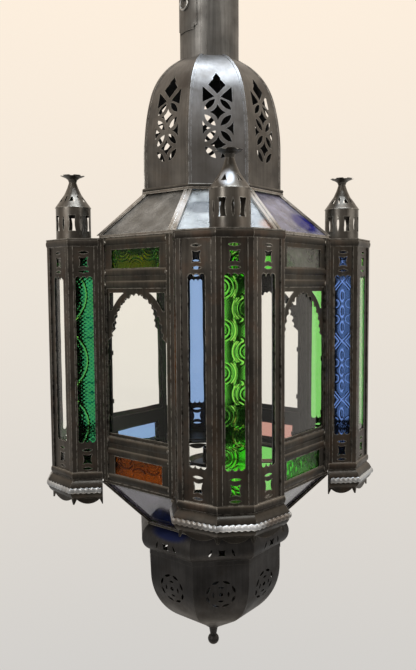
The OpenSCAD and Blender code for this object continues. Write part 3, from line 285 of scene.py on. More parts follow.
def tinMaterial(name, finish):
    # patina, streaks, rust, stains with spots of painted light, dust with painted top light, bare edges and
    # painted shade inside, each laid over the one before by its share
    material, tree, shader, inMm = newMaterial(name)
    layer = tinLayers
    blotch = addNoise(tree, inMm, layer["blotchSize"], 4)
    tones = (linear(finish["dark"]), linear(finish["light"]))
    patina = addRamp(tree, blotch, list(zip(layer["blotchSpan"], tones)))
    # water streaks run down the sheet: a noise 3 mm wide and 70 mm long
    along = addNode(tree, "ShaderNodeMapping", {"Scale": layer["streakScale"]}, {"Vector": inMm})
    streak = addNoise(tree, along.outputs[0], 1, 4)
    streakTone = addRamp(tree, streak, list(zip(layer["streakSpan"], (layer["streakDark"], layer["streakPale"]))))
    streaked = addNode(tree, "ShaderNodeMix", {"Factor": finish["streak"]}, {6: patina, 7: streakTone},
                       data_type="RGBA", blend_type="MULTIPLY")
    # rust shows through in soft patches 24 mm wide with a grainy rim
    patch = addNoise(tree, inMm, layer["rustSize"], 7, layer["rustGrain"])
    rustShare = addShare(tree, patch, layer["rustSpan"], high=finish["rustDepth"])
    rusty = laidOver(tree, rustShare, streaked.outputs[2], linear(finish["rust"]))
    # stains, with spots of painted highlight, shade and reflection where a finish lists them
    marked = stainedAndPaintedLight(tree, inMm, rusty, finish.get("stainsAndPaintedLight", ()))
    # pale dust, rubbing and painted top light on what faces up
    skin = addNode(tree, "ShaderNodeNewGeometry").outputs["Normal"]
    slope = addNode(tree, "ShaderNodeSeparateXYZ", links={0: skin})
    dustAndTopLightShare = addShare(tree, slope.outputs["Z"], layer["dustSpan"], high=finish.get("dustAndTopLight", 0))
    dustAndTopLight = laidOver(tree, dustAndTopLightShare, marked, linear(layer["dust"]))
    # rubbed edges: bare where the rounded normal leaves the true one, 1 - n . r, broken up by a 5 mm noise
    rounded = addNode(tree, "ShaderNodeBevel", {"Radius": layer["edgeRadius"] * mm},
                      samples=layer["edgeSamples"])
    match = addVectorMath(tree, "DOT_PRODUCT", rounded.outputs[0], skin)
    edge = addShare(tree, match.outputs["Value"], layer["edgeSpan"], high=finish["wear"])
    broken = addShare(tree, addNoise(tree, inMm, layer["edgeGrain"], 3), layer["grainSpan"])
    worn = addNode(tree, "ShaderNodeMath", links={0: edge, 1: broken}, operation="MULTIPLY")
    rubbed = laidOver(tree, worn.outputs[0], dustAndTopLight, linear(finish["rubbed"]))
    # painted shade of the lantern's inside lies on the faces that look at the axis, where n . (x, y, 0) / |(x, y,
    # 0)| is negative
    flat = addVectorMath(tree, "MULTIPLY", inMm, fixed=(1, 1, 0))
    outward = addVectorMath(tree, "NORMALIZE", flat.outputs[0])
    away = addVectorMath(tree, "DOT_PRODUCT", outward.outputs[0], skin)
    insideShadeShare = addShare(tree, away.outputs["Value"], layer["insideShadeSpan"], high=finish.get("insideShade", 0))
    tree.links.new(laidOver(tree, insideShadeShare, rubbed, linear(layer["insideShade"])), shader.inputs["Base Color"])
    shader.inputs["Metallic"].default_value = layer["metallic"]
    rough = addShare(tree, patch, layer["roughSpan"], finish["roughness"] - layer["smoother"],
                     finish["roughness"] + layer["rougher"])
    tree.links.new(rough, shader.inputs["Roughness"])
    # hand-worked sheet: dents 18 mm wide under a grain of 1.5 mm
    dents, fine = addNoise(tree, inMm, layer["dentSize"]), addNoise(tree, inMm, layer["grainSize"])
    beaten = addBump(tree, layer["dentStrength"], layer["dentDepth"], {"Height": dents})
    grained = addBump(tree, layer["grainStrength"], layer["grainDepth"], {"Height": fine, "Normal": beaten})
    tree.links.new(grained, shader.inputs["Normal"])
    return material


tin = {name: tinMaterial(name, finish) for name, finish in tinFinishes.items()}
print("tin finishes:", len(tin))


# Pressed and drawn soda-lime glass. tint is the colour of light that has passed the whole pane, since the shader
# takes its root at each skin, and vary the share of it left in the dark of the film. The ridge colour is painted
# on the pressed ridges, a painted glint where it is lighter than the tint, and the pit strength is that of painted
# shade in the hollows between them. dust is the share of grey film and scattering, and shine the share of plain
# glass's mirror reflection that this film leaves.
glassKinds = {
    "greenGlass": {"tint": "56f050", "ridgeTintAndGlint": "b0ff70", "vary": 0.6, "roughness": 0.10, "dust": 0.01,
                   "pitShade": 0.75, "shine": 0.15},
    "emeraldGlass": {"tint": "0ac070", "ridgeTintAndGlint": "a8ff60", "vary": 0.6, "roughness": 0.08, "dust": 0.0,
                     "pitShade": 0.65, "shine": 0.1},
    "darkGreenGlass": {"tint": "2c8a34", "ridgeTintAndGlint": "7cf05a", "vary": 0.6, "roughness": 0.12, "dust": 0.03,
                       "pitShade": 0.6, "shine": 0.15},
    "leafGreenGlass": {"tint": "8cf07c", "ridgeTintAndGlint": "aaf49a", "vary": 0.95, "roughness": 0.05, "dust": 0.0},
    "blueGlass": {"tint": "21406e", "ridgeTintAndGlint": "80a8ff", "vary": 0.6, "roughness": 0.08, "dust": 0.02,
                  "pitShade": 0.6, "shine": 0.15},
    "skyBlueGlass": {"tint": "94bbf8", "ridgeTintAndGlint": "a8c8fa", "vary": 0.95, "roughness": 0.03, "dust": 0.01},
    "amberGlass": {"tint": "ff8408", "ridgeTintAndGlint": "7a3004", "vary": 0.6, "roughness": 0.16, "dust": 0.02,
                   "pitShade": 0.3, "shine": 0.1},
    "roseGlass": {"tint": "e0a89e", "ridgeTintAndGlint": "ecc0b8", "vary": 0.95, "roughness": 0.05, "dust": 0.03},
    "clearGlass": {"tint": "fbfcfa", "ridgeTintAndGlint": "ffffff", "vary": 0.99, "roughness": 0.0, "dust": 0.0,
                   "shine": 0.25},
    "greyGlass": {"tint": "d6d8d3", "ridgeTintAndGlint": "e8eae5", "vary": 0.9, "roughness": 0.08, "dust": 0.08},
    "dullGlass": {"tint": "9d9b95", "ridgeTintAndGlint": "b3b1ab", "vary": 0.65, "roughness": 0.28, "dust": 0.35},
    "smokeGlass": {"tint": "97939f", "ridgeTintAndGlint": "bdb8c8", "vary": 0.8, "roughness": 0.10, "dust": 0.12},
    "navySmokeGlass": {"tint": "8e8a9a", "ridgeTintAndGlint": "b3aec0", "vary": 0.8, "roughness": 0.10, "dust": 0.12,
                       "stainsAndPaintedLight": [("142f70", (-66, -73, -48), (24, 44, 22), 0.96)]},
    "violetGlass": {"tint": "aca9bd", "ridgeTintAndGlint": "bab7ca", "vary": 0.8, "roughness": 0.20, "dust": 0.40,
                    "shine": 0.15, "stainsAndPaintedLight": [("1c2190", (103, -66, 298), (27, 27, 18), 0.99)]},
    "sootyGlass": {"tint": "8b8883", "ridgeTintAndGlint": "9a9792", "vary": 0.65, "roughness": 0.24, "dust": 0.50},
    # front roof pane: its pale tint and milky film are dust and a painted reflection of the ceiling
    "dustAndPaintedReflectionRoofGlass": {"tint": "d2dbe2", "ridgeTintAndGlint": "f4f8fa", "vary": 0.85, "roughness": 0.09, "dust": 0.50,
                      "shine": 0.5, "stainsAndPaintedLight": [("46525f", (-22, -104, 311), (26, 26, 10), 0.9),
                                               ("dba384", (54, -122, 290), (20, 20, 12), 0.7)]},
}
# How every glass is laid on, as for the tin. The shares say what the film does to dust and roughness at its
# thinnest and its thickest.
glassLayers = {
    "ior": 1.5, "plainSpecular": 0.5, "filmSize": 20, "filmGrain": 0.6, "filmSpan": (0.3, 0.7),
    "pitShadeSpan": (0.16, 0.02), "pitShadeShare": 0.06, "dustSpan": (0.35, 0.70), "thinDust": 0.5, "thickDust": 1.4,
    "smoother": 0.5, "rougher": 1.5,
}


def glassMaterial(name, kind):
    # tint under a patchy film, the ridges' tint with its painted glint, painted shade in the pits and stains, each
    # laid over the one before by its share
    material, tree, shader, inMm = newMaterial(name)
    layer = glassLayers
    shine = kind.get("shine", 1.0)
    shader.inputs["IOR"].default_value = layer["ior"]
    shader.inputs["Specular IOR Level"].default_value = layer["plainSpecular"] * shine
    shader.inputs["Specular Tint"].default_value = (shine, shine, shine, 1)
    film = addNoise(tree, inMm, layer["filmSize"], 6, layer["filmGrain"])
    tones = (linear(kind["tint"], kind["vary"]), linear(kind["tint"]))
    tone = addRamp(tree, film, list(zip(layer["filmSpan"], tones)))
    # the relief attribute is 0 on the ground and 1 on the ridges
    ridge = addNode(tree, "ShaderNodeAttribute", attribute_name="relief").outputs["Fac"]
    # the ridges' own tint, a painted glint where it is lighter than the tint
    pressed = laidOver(tree, ridge, tone, linear(kind["ridgeTintAndGlint"]))
    # painted shade in the deepest hollows between the ridges
    pitShadeMask = addShare(tree, ridge, layer["pitShadeSpan"], high=kind.get("pitShade", 0))
    pitShaded = laidOver(tree, pitShadeMask, pressed, linear(kind["tint"], layer["pitShadeShare"]))
    tree.links.new(stainedAndPaintedLight(tree, inMm, pitShaded, kind.get("stainsAndPaintedLight", ())), shader.inputs["Base Color"])
    clear = addShare(tree, film, layer["dustSpan"], 1 - kind["dust"] * layer["thinDust"],
                     1 - kind["dust"] * layer["thickDust"])
    tree.links.new(clear, shader.inputs["Transmission Weight"])
    rough = addShare(tree, film, (0.0, 1.0), kind["roughness"] * layer["smoother"],
                     kind["roughness"] * layer["rougher"])
    tree.links.new(rough, shader.inputs["Roughness"])
    return material


glass = {name: glassMaterial(name, kind) for name, kind in glassKinds.items()}
print("glass kinds:", len(glass))


def ridgeLine(distance, width):
    # the rounded section of a pressed line: exp(-(distance / width)^2)
    return np.exp(-(distance / width) ** 2)


def hobnails(u, v, across, up):
    # rows of small bumps, from -1 to 1: sin(2 pi u / across) sin(2 pi v / up)
    return np.sin(2 * np.pi * u / across) * np.sin(2 * np.pi * v / up)


# rings: how far inside the largest ring, the ridge's width and its height; u runs across a pane and v up it
scroll = {"step": 21, "reach": 12, "radius": 13.5, "rings": ((0, 0.9, 1), (3.4, 0.6, 0.6), (7.5, 0.6, 0.35)),
          "hobnail": 2.6, "hobnailHeight": 0.26,
          "sprigPlace": 4, "sprigWide": 1.6, "sprigRadius": 3.2, "sprigWidth": 0.6, "sprigHeight": 0.5}


def scrollRelief(u, v):
    # raised rings centred near the edges by turns, at +-reach every step, with two finer rings inside each, a
    # sprig in each gap and a hobnail ground: a sum of ridge lines at r - radius
    row = np.round(v / scroll["step"])
    side = np.where(row % 2 == 0, -scroll["reach"], scroll["reach"])
    r = np.hypot(u - side, v - row * scroll["step"]) - scroll["radius"]
    rings = sum(height * ridgeLine(r + inside, width) for inside, width, height in scroll["rings"])
    ground = scroll["hobnailHeight"] * (0.5 + 0.5 * hobnails(u, v, scroll["hobnail"], scroll["hobnail"]))
    gap = v - (row + np.where(v > row * scroll["step"], 0.5, -0.5)) * scroll["step"]
    petal = np.hypot((u - scroll["sprigPlace"]) / scroll["sprigWide"], gap) - scroll["sprigRadius"]
    return rings + ground + scroll["sprigHeight"] * ridgeLine(petal, scroll["sprigWidth"])


def sprayRelief(u, v):
    # the scroll pattern laid on its side, for the low wide panes
    return scrollRelief(v, u)


fan = {"step": 76.0, "centre": 33.5, "radius": 36, "ringWidth": 0.9,
       "innerRadius": 31, "innerWidth": 0.6, "innerHeight": 0.45, "innerGap": 9,
       "flowerPlace": -6, "flowerRadius": 3.2, "flowerDepth": 0.5,
       "petalReach": 1.4, "petalCount": 5, "petalWidth": 0.9, "petalHeight": 0.8,
       "leafPlaces": (-8, 7), "leafWide": 2.2, "leafTall": 1.6, "leafDepth": 0.6,
       "sprigStart": 2, "sprigPlace": 4, "sprigRise": 26, "sprigBend": 0.05, "sprigWidth": 0.8,
       "sprigDepth": 0.45,
       "ground": 0.16, "hobnailAcross": 5.4, "hobnailUp": 4.4, "hobnailHeight": 0.34}


def fanRelief(u, v):
    # wide rings every step, ridge lines at r - radius, with a dark flower in each, whose outline is radius +
    # petalReach cos(petalCount angle), and a pair of dark leaves and sprigs between two rings
    w = v - np.round(v / fan["step"]) * fan["step"]
    r = np.hypot(u + fan["centre"], w)
    rings = (ridgeLine(r - fan["radius"], fan["ringWidth"]) + fan["innerHeight"]
             * ridgeLine(r - fan["innerRadius"], fan["innerWidth"]) * (np.abs(w) > fan["innerGap"]))
    x = u - fan["flowerPlace"]
    outline = fan["flowerRadius"] + fan["petalReach"] * np.cos(fan["petalCount"] * np.arctan2(w, x))
    petals = fan["petalHeight"] * ridgeLine(np.hypot(x, w) - outline, fan["petalWidth"])
    between = (fan["step"] / 2 - np.abs(w)) / fan["leafTall"]
    leaves = sum(ridgeLine(np.hypot((u - place) / fan["leafWide"], between), 1) for place in fan["leafPlaces"])
    bow = np.abs(w) - fan["sprigRise"] - fan["sprigBend"] * (u - fan["sprigPlace"]) ** 2
    sprig = ridgeLine(bow, fan["sprigWidth"]) * (u > fan["sprigStart"])
    ground = fan["ground"] + fan["hobnailHeight"] * hobnails(u, v, fan["hobnailAcross"], fan["hobnailUp"])
    return rings + ground - fan["flowerDepth"] * petals - fan["leafDepth"] * leaves - fan["sprigDepth"] * sprig


rosette = {"step": 72.0, "shift": 17.6,
           "crossSlope": 0.8, "crossLines": (0, 3.6), "crossWidth": 0.9, "crossTall": 10,
           "ovalPlaces": (17, 36), "ovalWide": 2.6, "ovalTall": 6.5, "ovalWidth": 0.22,
           "wingOut": 9, "wingUp": 26.5, "wingRadius": 5.5, "wingWidth": 0.7, "wingHeight": 0.8,
           "hobnail": 2.4, "hobnailHeight": 0.20}


def rosetteRelief(u, v):
    # every step a cross of double ridges along |u| = 0.8 |w| + offset, upright ovals, 1 = |(u / wide, w / tall)|,
    # above and below it, and a ring at each side between the crosses
    v = v - rosette["shift"]
    w = v - np.round(v / rosette["step"]) * rosette["step"]
    out, up = np.abs(u), np.abs(w)
    lines = sum(ridgeLine(out - rosette["crossSlope"] * up - offset, rosette["crossWidth"])
                for offset in rosette["crossLines"])
    ovals = sum(ridgeLine(np.hypot(u / rosette["ovalWide"], (up - place) / rosette["ovalTall"]) - 1,
                          rosette["ovalWidth"]) for place in rosette["ovalPlaces"])
    wing = np.hypot(out - rosette["wingOut"], up - rosette["wingUp"]) - rosette["wingRadius"]
    ground = rosette["hobnailHeight"] * (0.5 + 0.5 * hobnails(u, v, rosette["hobnail"], rosette["hobnail"]))
    return (lines * (up < rosette["crossTall"]) + ovals
            + rosette["wingHeight"] * ridgeLine(wing, rosette["wingWidth"]) + ground)


pebble = {"waves": 6, "turn": 0.9, "firstTurn": 0.3, "firstLength": 5.5, "longer": 1.7, "phase": 1.7,
          "height": 0.22}
wavy = {"height": 0.10, "length": 46, "lean": 0.2, "secondLength": 31, "secondLean": 0.1, "secondShare": 0.5}


def pebbleRelief(u, v):
    # rolled cathedral glass: a sum of slow waves sin(2 pi (u cos a + v sin a) / length + phase), each turned on
    # and longer than the one before
    total = np.zeros_like(u)
    for k in range(pebble["waves"]):
        angle = pebble["turn"] * k + pebble["firstTurn"]
        length = pebble["firstLength"] + pebble["longer"] * k
        along = u * math.cos(angle) + v * math.sin(angle)
        total += np.sin(2 * np.pi * along / length + pebble["phase"] * k)
    return pebble["height"] * total


def wavyRelief(u, v):
    # drawn window glass: two long faint waves, one up the pane and one across it
    upward = np.sin(2 * np.pi * (v + wavy["lean"] * u) / wavy["length"])
    sideways = np.sin(2 * np.pi * (u - wavy["secondLean"] * v) / wavy["secondLength"] + 1)
    return wavy["height"] * (upward + wavy["secondShare"] * sideways)


# each relief with the side of its grid's cells, its depth in mm, and what its ridges add to the tint, painted
# glint included: a start and a share
reliefs = {
    "scroll": (scrollRelief, 0.65, 0.5, (0, 1)), "fan": (fanRelief, 0.65, 0.5, (0, 1)),
    "spray": (sprayRelief, 0.65, 0.5, (0, 1)), "rosette": (rosetteRelief, 0.65, 0.5, (0, 1)),
    "pebble": (pebbleRelief, 1.0, 0.5, (0.15, 0.3)), "wavy": (wavyRelief, 4.0, 0.35, (0.15, 0.3)),
}
press = {"floor": -0.2, "span": 1.3, "margin": 2, "fewest": 3, "sharp": 60}


def makePane(name, middle, normalAngle, size, relief, material, body, replaced):
    # upright pane from the middle of its outer face, that face's heading in plan and its (width, height), with
    # the relief pressed into the outer skin: depth (1 - ridge), running out to 0 within the margin
    shape, cell, depth, (start, share) = reliefs[relief]
    width, height = size
    acrossLine = np.linspace(-width / 2, width / 2, max(press["fewest"], int(width / cell)))
    upLine = np.linspace(-height / 2, height / 2, max(press["fewest"], int(height / cell)))
    u, v = np.meshgrid(acrossLine, upLine, indexing="ij")
    ridge = np.clip((shape(u, v) - press["floor"]) / press["span"], 0, 1)
    edge = np.minimum(width / 2 - np.abs(u), height / 2 - np.abs(v))
    sunk = depth * (1 - ridge) * np.clip(edge / press["margin"], 0, 1)
    out, across = np.append(heading(normalAngle), 0), np.append(heading(normalAngle + 90), 0)
    base = np.array(middle, float) + u[..., None] * across + v[..., None] * np.array([0, 0, 1.0])
    piece = makeMesh(name, *slabOf(base - sunk[..., None] * out, base - lantern["pane"] * out))
    # each point of both skins carries its ridge for the material
    mark = piece.data.attributes.new("relief", "FLOAT", "POINT")
    mark.data.foreach_set("value", np.tile((start + ridge * share).ravel(), 2).astype(np.float32))
    finishPiece(piece, press["sharp"], material, body, replaced)


# the tower's plan, from one root round to the other, with each face's outward normal
rootHalf, noseHalf = lantern["towerWidth"] / 2, lantern["noseWidth"] / 2
shoulder = lantern["coreReach"] + lantern["towerSide"]
nose = shoulder + lantern["towerNose"]
slant = math.degrees(math.atan2(lantern["towerNose"], rootHalf - noseHalf))
towerPlan = np.array([[lantern["coreReach"], -rootHalf], [shoulder, -rootHalf], [nose, -noseHalf],
                      [nose, noseHalf], [shoulder, rootHalf], [lantern["coreReach"], rootHalf]])
faceNormals = [-90, -slant, 0, slant, 90]
# glass of each tower's five faces, in the order of its plan
towerGlass = {
    "front": [("greenGlass", "scroll"), ("clearGlass", "wavy"), ("greenGlass", "scroll"), ("clearGlass", "wavy"),
              ("blueGlass", "rosette")],
    "right": [("blueGlass", "rosette"), ("clearGlass", "wavy"), ("emeraldGlass", "scroll"), ("clearGlass", "wavy"),
              ("leafGreenGlass", "pebble")],
    "back": [("greenGlass", "scroll"), ("clearGlass", "wavy"), ("skyBlueGlass", "wavy"), ("clearGlass", "wavy"),
             ("greenGlass", "scroll")],
    "left": [("skyBlueGlass", "wavy"), ("clearGlass", "wavy"), ("blueGlass", "rosette"), ("clearGlass", "wavy"),
             ("emeraldGlass", "fan")],
}
paneDepth = lantern["sheet"] + lantern["panePlay"] / 2  # from the wall's face to the pane's outer face
for side, kinds in towerGlass.items():
    for i, (kind, relief) in enumerate(kinds):
        a, b = towerPlan[i], towerPlan[i + 1]
        x, y = (a + b) / 2 - paneDepth * heading(faceNormals[i])
        middle = turned(np.array([x, y, lantern["bodyHeight"] / 2]), towerAngles[side])
        size = (np.linalg.norm(b - a) - 2 * lantern["paneInset"], lantern["bodyHeight"] - 2 * lantern["panePlay"])
        makePane(f"towerGlass_{side}_{i + 1}", middle, faceNormals[i] + towerAngles[side], size, relief,
                 glass[kind], "body", f"tower_panes_{side}")
print("tower panes made")

# The wide panels: lower glass, upper glass and the tall pane behind the arched plate.
widePanel = {"lightWidth": 74, "lightHeight": 21, "lightFoot": 8.5, "railHeight": 23, "fieldWidth": 92,
             "rebate": 3}
panelReach = (lantern["coreReach"] + rootHalf) / math.sqrt(2)
upperFoot = lantern["bodyHeight"] - widePanel["lightFoot"] - widePanel["lightHeight"] - widePanel["railHeight"] / 5
fieldFoot = widePanel["lightFoot"] + widePanel["lightHeight"] + widePanel["railHeight"]
fieldTop = upperFoot - widePanel["railHeight"]
panelGlass = {  # lower, upper, tall
    "front_left": [("amberGlass", "spray"), ("darkGreenGlass", "spray"), ("clearGlass", "wavy")],
    "front_right": [("greenGlass", "pebble"), ("dullGlass", "pebble"), ("clearGlass", "wavy")],
    "back_left": [("skyBlueGlass", "wavy"), ("amberGlass", "pebble"), ("clearGlass", "wavy")],
    "back_right": [("roseGlass", "wavy"), ("greenGlass", "pebble"), ("clearGlass", "wavy")],
}
doorPanel = "back_right"
lip = widePanel["rebate"] - lantern["panePlay"]
small = (widePanel["lightWidth"] + 2 * lip, widePanel["lightHeight"] + 2 * lip)
tall = (widePanel["fieldWidth"] + 2 * lip, fieldTop - fieldFoot + 2 * lip)
lightSunk = lantern["sheet"] * 1.5 + lantern["panePlay"]  # how far the small panes lie behind the panel's plane
panelPlaces = [("lower", small, widePanel["lightFoot"] + widePanel["lightHeight"] / 2, lightSunk),
               ("upper", small, upperFoot + widePanel["lightHeight"] / 2, lightSunk),
               ("tall", tall, (fieldFoot + fieldTop) / 2, lightSunk + lantern["sheet"])]
for panel, kinds in panelGlass.items():
    body, replaced = ("door", "door_panes") if panel == doorPanel else ("body", f"panel_panes_{panel}")
    for (part, size, z, sunk), (kind, relief) in zip(panelPlaces, kinds):
        middle = turned(np.array([panelReach - sunk, 0, z]), panelAngles[panel])
        makePane(f"panelGlass_{panel}_{part}", middle, panelAngles[panel], size, relief, glass[kind], body,
                 replaced)
print("panel panes made")

slope = {"across": 26, "up": 18, "wave": 0.12, "waveAcross": 5, "waveUp": 3, "sharp": 50}


def slopePane(name, k, rise, foot, way, material, replaced):
    # trapezoid between two heights of a slope, one eighth of the octagon, with faint waves in its outer skin:
    # wave (1 + sin(5 s + 3 t)), fading to 0 at the edges; way is 1 for the roof and -1 for the belly
    low, high = lantern["ringThick"], rise - lantern["ringThick"]
    pitch = math.atan2(high - low, lantern["slopeReach"] - lantern["domeReach"])
    s, t = np.meshgrid(np.linspace(-1, 1, slope["across"]), np.linspace(0, 1, slope["up"]), indexing="ij")
    reach = lantern["slopeReach"] + (lantern["domeReach"] - lantern["slopeReach"]) * t
    z = low + (high - low) * t
    wave = (slope["wave"] * (1 + np.sin(slope["waveAcross"] * s + slope["waveUp"] * t))
            * (1 - np.abs(s)) * np.sin(np.pi * t))

    def skin(backOff):
        r = reach - backOff
        y = s * (r * math.tan(halfTurn) - lantern["hipGap"] / 2 / math.cos(halfTurn))
        return turned(np.stack([r, y, foot + way * z], -1), 45 * k)
    piece = makeMesh(name, *slabOf(skin(wave / math.sin(pitch)), skin(lantern["pane"] / math.sin(pitch))))
    finishPiece(piece, slope["sharp"], material, "body", replaced)


# the panes in turn from the right (+X) side; 5 to 7 are the front left, front and front right
roofKinds = ["greyGlass", "violetGlass", "greyGlass", "sootyGlass", "greyGlass", "sootyGlass", "dustAndPaintedReflectionRoofGlass",
             "violetGlass"]
bellyKinds = ["smokeGlass", "leafGreenGlass", "clearGlass", "smokeGlass", "smokeGlass", "navySmokeGlass",
              "smokeGlass", "smokeGlass"]
for k in range(8):
    slopePane(f"roofGlass_{k + 1}", k, lantern["roofRise"], rimTop, 1, glass[roofKinds[k]], "roof_panes")
    slopePane(f"bellyGlass_{k + 1}", k, lantern["bellyRise"], -lantern["plate"], -1, glass[bellyKinds[k]],
              "belly_panes")
print("roof and belly panes made")

rope = {"out": 6.4, "height": -12.6, "depth": 1.8, "half": 3.2, "pitch": 6.2, "wave": 0.15, "step": 0.7,
        "round": 24, "cornerSteps": 3, "taper": 1.5, "tip": 0.02, "sharp": 70}


def ropeBead(side):
    # twisted strip along a skirt's roll: an oval section carried round the five faces, its radius waved by
    # cos(2 pi s / pitch + angle) so that the ridges climb round it
    spots, outs = [], []
    for i in range(5):
        a, b = towerPlan[i], towerPlan[i + 1]
        n = heading(faceNormals[i])
        before = heading(faceNormals[i - 1]) if i else n
        after = heading(faceNormals[i + 1]) if i < 4 else n
        # mitres at both ends of the face: (n + m) / (1 + n . m) for a neighbour's normal m
        startOut, endOut = (n + before) / (1 + n @ before), (n + after) / (1 + n @ after)
        a, b = a + startOut * rope["out"], b + endOut * rope["out"]
        count = int(np.linalg.norm(b - a) / rope["step"])
        t = np.linspace(0, 1, count + 1)[:, None][(1 if i else 0):]
        near = np.clip(1 - np.minimum(t, 1 - t) * count / rope["cornerSteps"], 0, 1)
        spots.append(a + (b - a) * t)
        outs.append(n + near * np.where(t < 0.5, startOut - n, endOut - n))
    spots, outs = np.concatenate(spots), np.concatenate(outs)
    run = np.concatenate([[0], np.cumsum(np.linalg.norm(np.diff(spots, axis=0), axis=1))])
    angle = np.linspace(0, 2 * np.pi, rope["round"] + 1)[:-1]
    taper = np.clip(np.minimum(run, run[-1] - run) / rope["taper"], rope["tip"], 1)[:, None]
    wave = taper * (1 + rope["wave"] * np.cos(2 * np.pi * run[:, None] / rope["pitch"] + angle))
    across = rope["depth"] * wave * np.cos(angle)
    up = rope["half"] * wave * np.sin(angle)
    points = np.concatenate([spots[:, None, :] + outs[:, None, :] * across[..., None],
                             (rope["height"] + up)[..., None]], -1)
    nu, nv = points.shape[:2]
    points = turned(points, towerAngles[side]).reshape(-1, 3)
    ends = np.array([points[:nv].mean(0), points[-nv:].mean(0)])
    k = np.arange(nv)
    last = (nu - 1) * nv
    caps = np.concatenate([np.stack([(k + 1) % nv, k, np.full(nv, nu * nv)], -1),
                           np.stack([last + k, last + (k + 1) % nv, np.full(nv, nu * nv + 1)], -1)])
    piece = makeMesh(f"ropeBead_{side}", np.concatenate([points, ends]), gridQuads(nu, nv, wrapV=True), caps)
    finishPiece(piece, rope["sharp"], tin["ropeTin"], "body")


for side in towerAngles:
    ropeBead(side)

# lobes: depth, count, and the turn from one drop to the next
drop = {"rings": 7, "round": 18, "firstRing": 0.04, "rise": 0.34, "sink": 0.25, "foot": -0.6, "tall": 1.15,
        "lobes": ((0.16, 2, 1.7), (0.10, 3, 0.9)), "sharp": 60}


def solderDrops(name, places, body):
    # flat drops of solder, one per (point, normal angle, radius): height = rise radius (1 - r^2)^1.5 - sink, over
    # a lobed round outline
    nu, nv = drop["rings"], drop["round"]
    around = np.linspace(0, 2 * np.pi, nv + 1)[:-1]
    r, a = np.meshgrid(np.linspace(drop["firstRing"], 1, nu), around, indexing="ij")
    k = np.arange(nv)
    points, quads, tips = [], [], []
    for n, (spotAt, normalAngle, radius) in enumerate(places):
        lobes = radius * (1 + sum(deep * np.cos(count * a + turn * n) for deep, count, turn in drop["lobes"]))
        high = drop["rise"] * radius * (1 - r ** 2) ** 1.5 - drop["sink"]
        dome = np.stack([high, r * lobes * np.cos(a), r * lobes * np.sin(a) * drop["tall"]], -1).reshape(-1, 3)
        ends = np.array([[drop["rise"] * radius - drop["sink"], 0, 0], [drop["foot"], 0, 0]])
        start = n * (nu * nv + 2)
        last, top, foot = start + (nu - 1) * nv, start + nu * nv, start + nu * nv + 1
        points.append(turned(np.concatenate([dome, ends]), normalAngle) + spotAt)
        quads.append(gridQuads(nu, nv, wrapV=True, start=start))
        tips.append(np.stack([start + (k + 1) % nv, start + k, np.full(nv, top)], -1))
        tips.append(np.stack([last + k, last + (k + 1) % nv, np.full(nv, foot)], -1))
    piece = makeMesh(name, np.concatenate(points), np.concatenate(quads), np.concatenate(tips))
    finishPiece(piece, drop["sharp"], tin["solder"], body)


# drops where the half-round rails meet the stiles, and at the top and foot of the towers' corner cames; skip
# leaves out one joint in five, since the real ones are uneven
solderPlaces = {"inside": 0.5, "panelRadius": 1.7, "towerRadius": 1.6, "uneven": 0.4, "skip": 5,
                "foot": 3.2, "head": 3.0, "cameOut": 1.08}
inBy = lantern["railCame"] / 2 + lantern["sheet"]
railLevels = [lantern["railCame"] / 2, fieldFoot - inBy, fieldFoot - widePanel["railHeight"] + inBy,
              fieldTop + inBy, upperFoot - inBy, lantern["bodyHeight"] - lantern["railCame"] / 2]
panelHalf = (lantern["coreReach"] - rootHalf) / math.sqrt(2) - lantern["postWing"]
cameEdge = panelHalf - lantern["cameWing"] - solderPlaces["inside"]
for panel, angle in panelAngles.items():
    places = []
    for row, z in enumerate(railLevels):
        for s in (-1, 1):
            if (row * 3 + s + angle // 45) % solderPlaces["skip"] != 0:
                spotAt = turned(np.array([panelReach + lantern["cameRise"], s * cameEdge, z]), angle)
                radius = solderPlaces["panelRadius"] + solderPlaces["uneven"] * math.sin(row * 2.1 + s + angle)
                places.append((spotAt, angle, radius))
    solderDrops(f"panelSolder_{panel}", places, "door" if panel == doorPanel else "body")
for side, angle in towerAngles.items():
    places = []
    for i in range(1, 5):
        for z in (solderPlaces["foot"], lantern["bodyHeight"] - solderPlaces["head"]):
            between = (faceNormals[i - 1] + faceNormals[i]) / 2
            x, y = towerPlan[i] + heading(between) * (lantern["cameRise"] * solderPlaces["cameOut"])
            radius = solderPlaces["towerRadius"] + solderPlaces["uneven"] * math.sin(i * 1.3 + z)
            places.append((turned(np.array([x, y, z]), angle), angle + between, radius))
    solderDrops(f"towerSolder_{side}", places, "body")
print("rope beads and solder made")

# the metal nodes keep the CAD's own shape; each finish goes to the nodes whose names start so, and frameTin to
# all other metal
nodeFinishes = {
    "tower_shell": "shellTin", "tower_skirt": "skirtPaintedShadeTin", "turret": "turretTin", "dome_base": "turretTin",
    "dome_gore_1": "frontGorePaintedSheenTin", "dome_gore": "domeTin", "roof_frame": "cameTin",
    "neck": "neckTin", "hang_eye": "neckTin", "strap_left": "neckTin", "strap_right": "neckTin",
    "belly_collar": "bellyPaintedShadeTin", "belly_dome": "bellyPaintedShadeTin", "bottom_finial": "bellyPaintedShadeTin",
    "strap_ring": "wireTin", "door_pins": "wireTin",
}
for name in nodes:
    if "_panes" not in name:
        finish = next((nodeFinishes[start] for start in nodeFinishes if name.startswith(start)), "frameTin")
        nodes[name].data.materials.clear()
        nodes[name].data.materials.append(tin[finish])
print("nodes dressed")

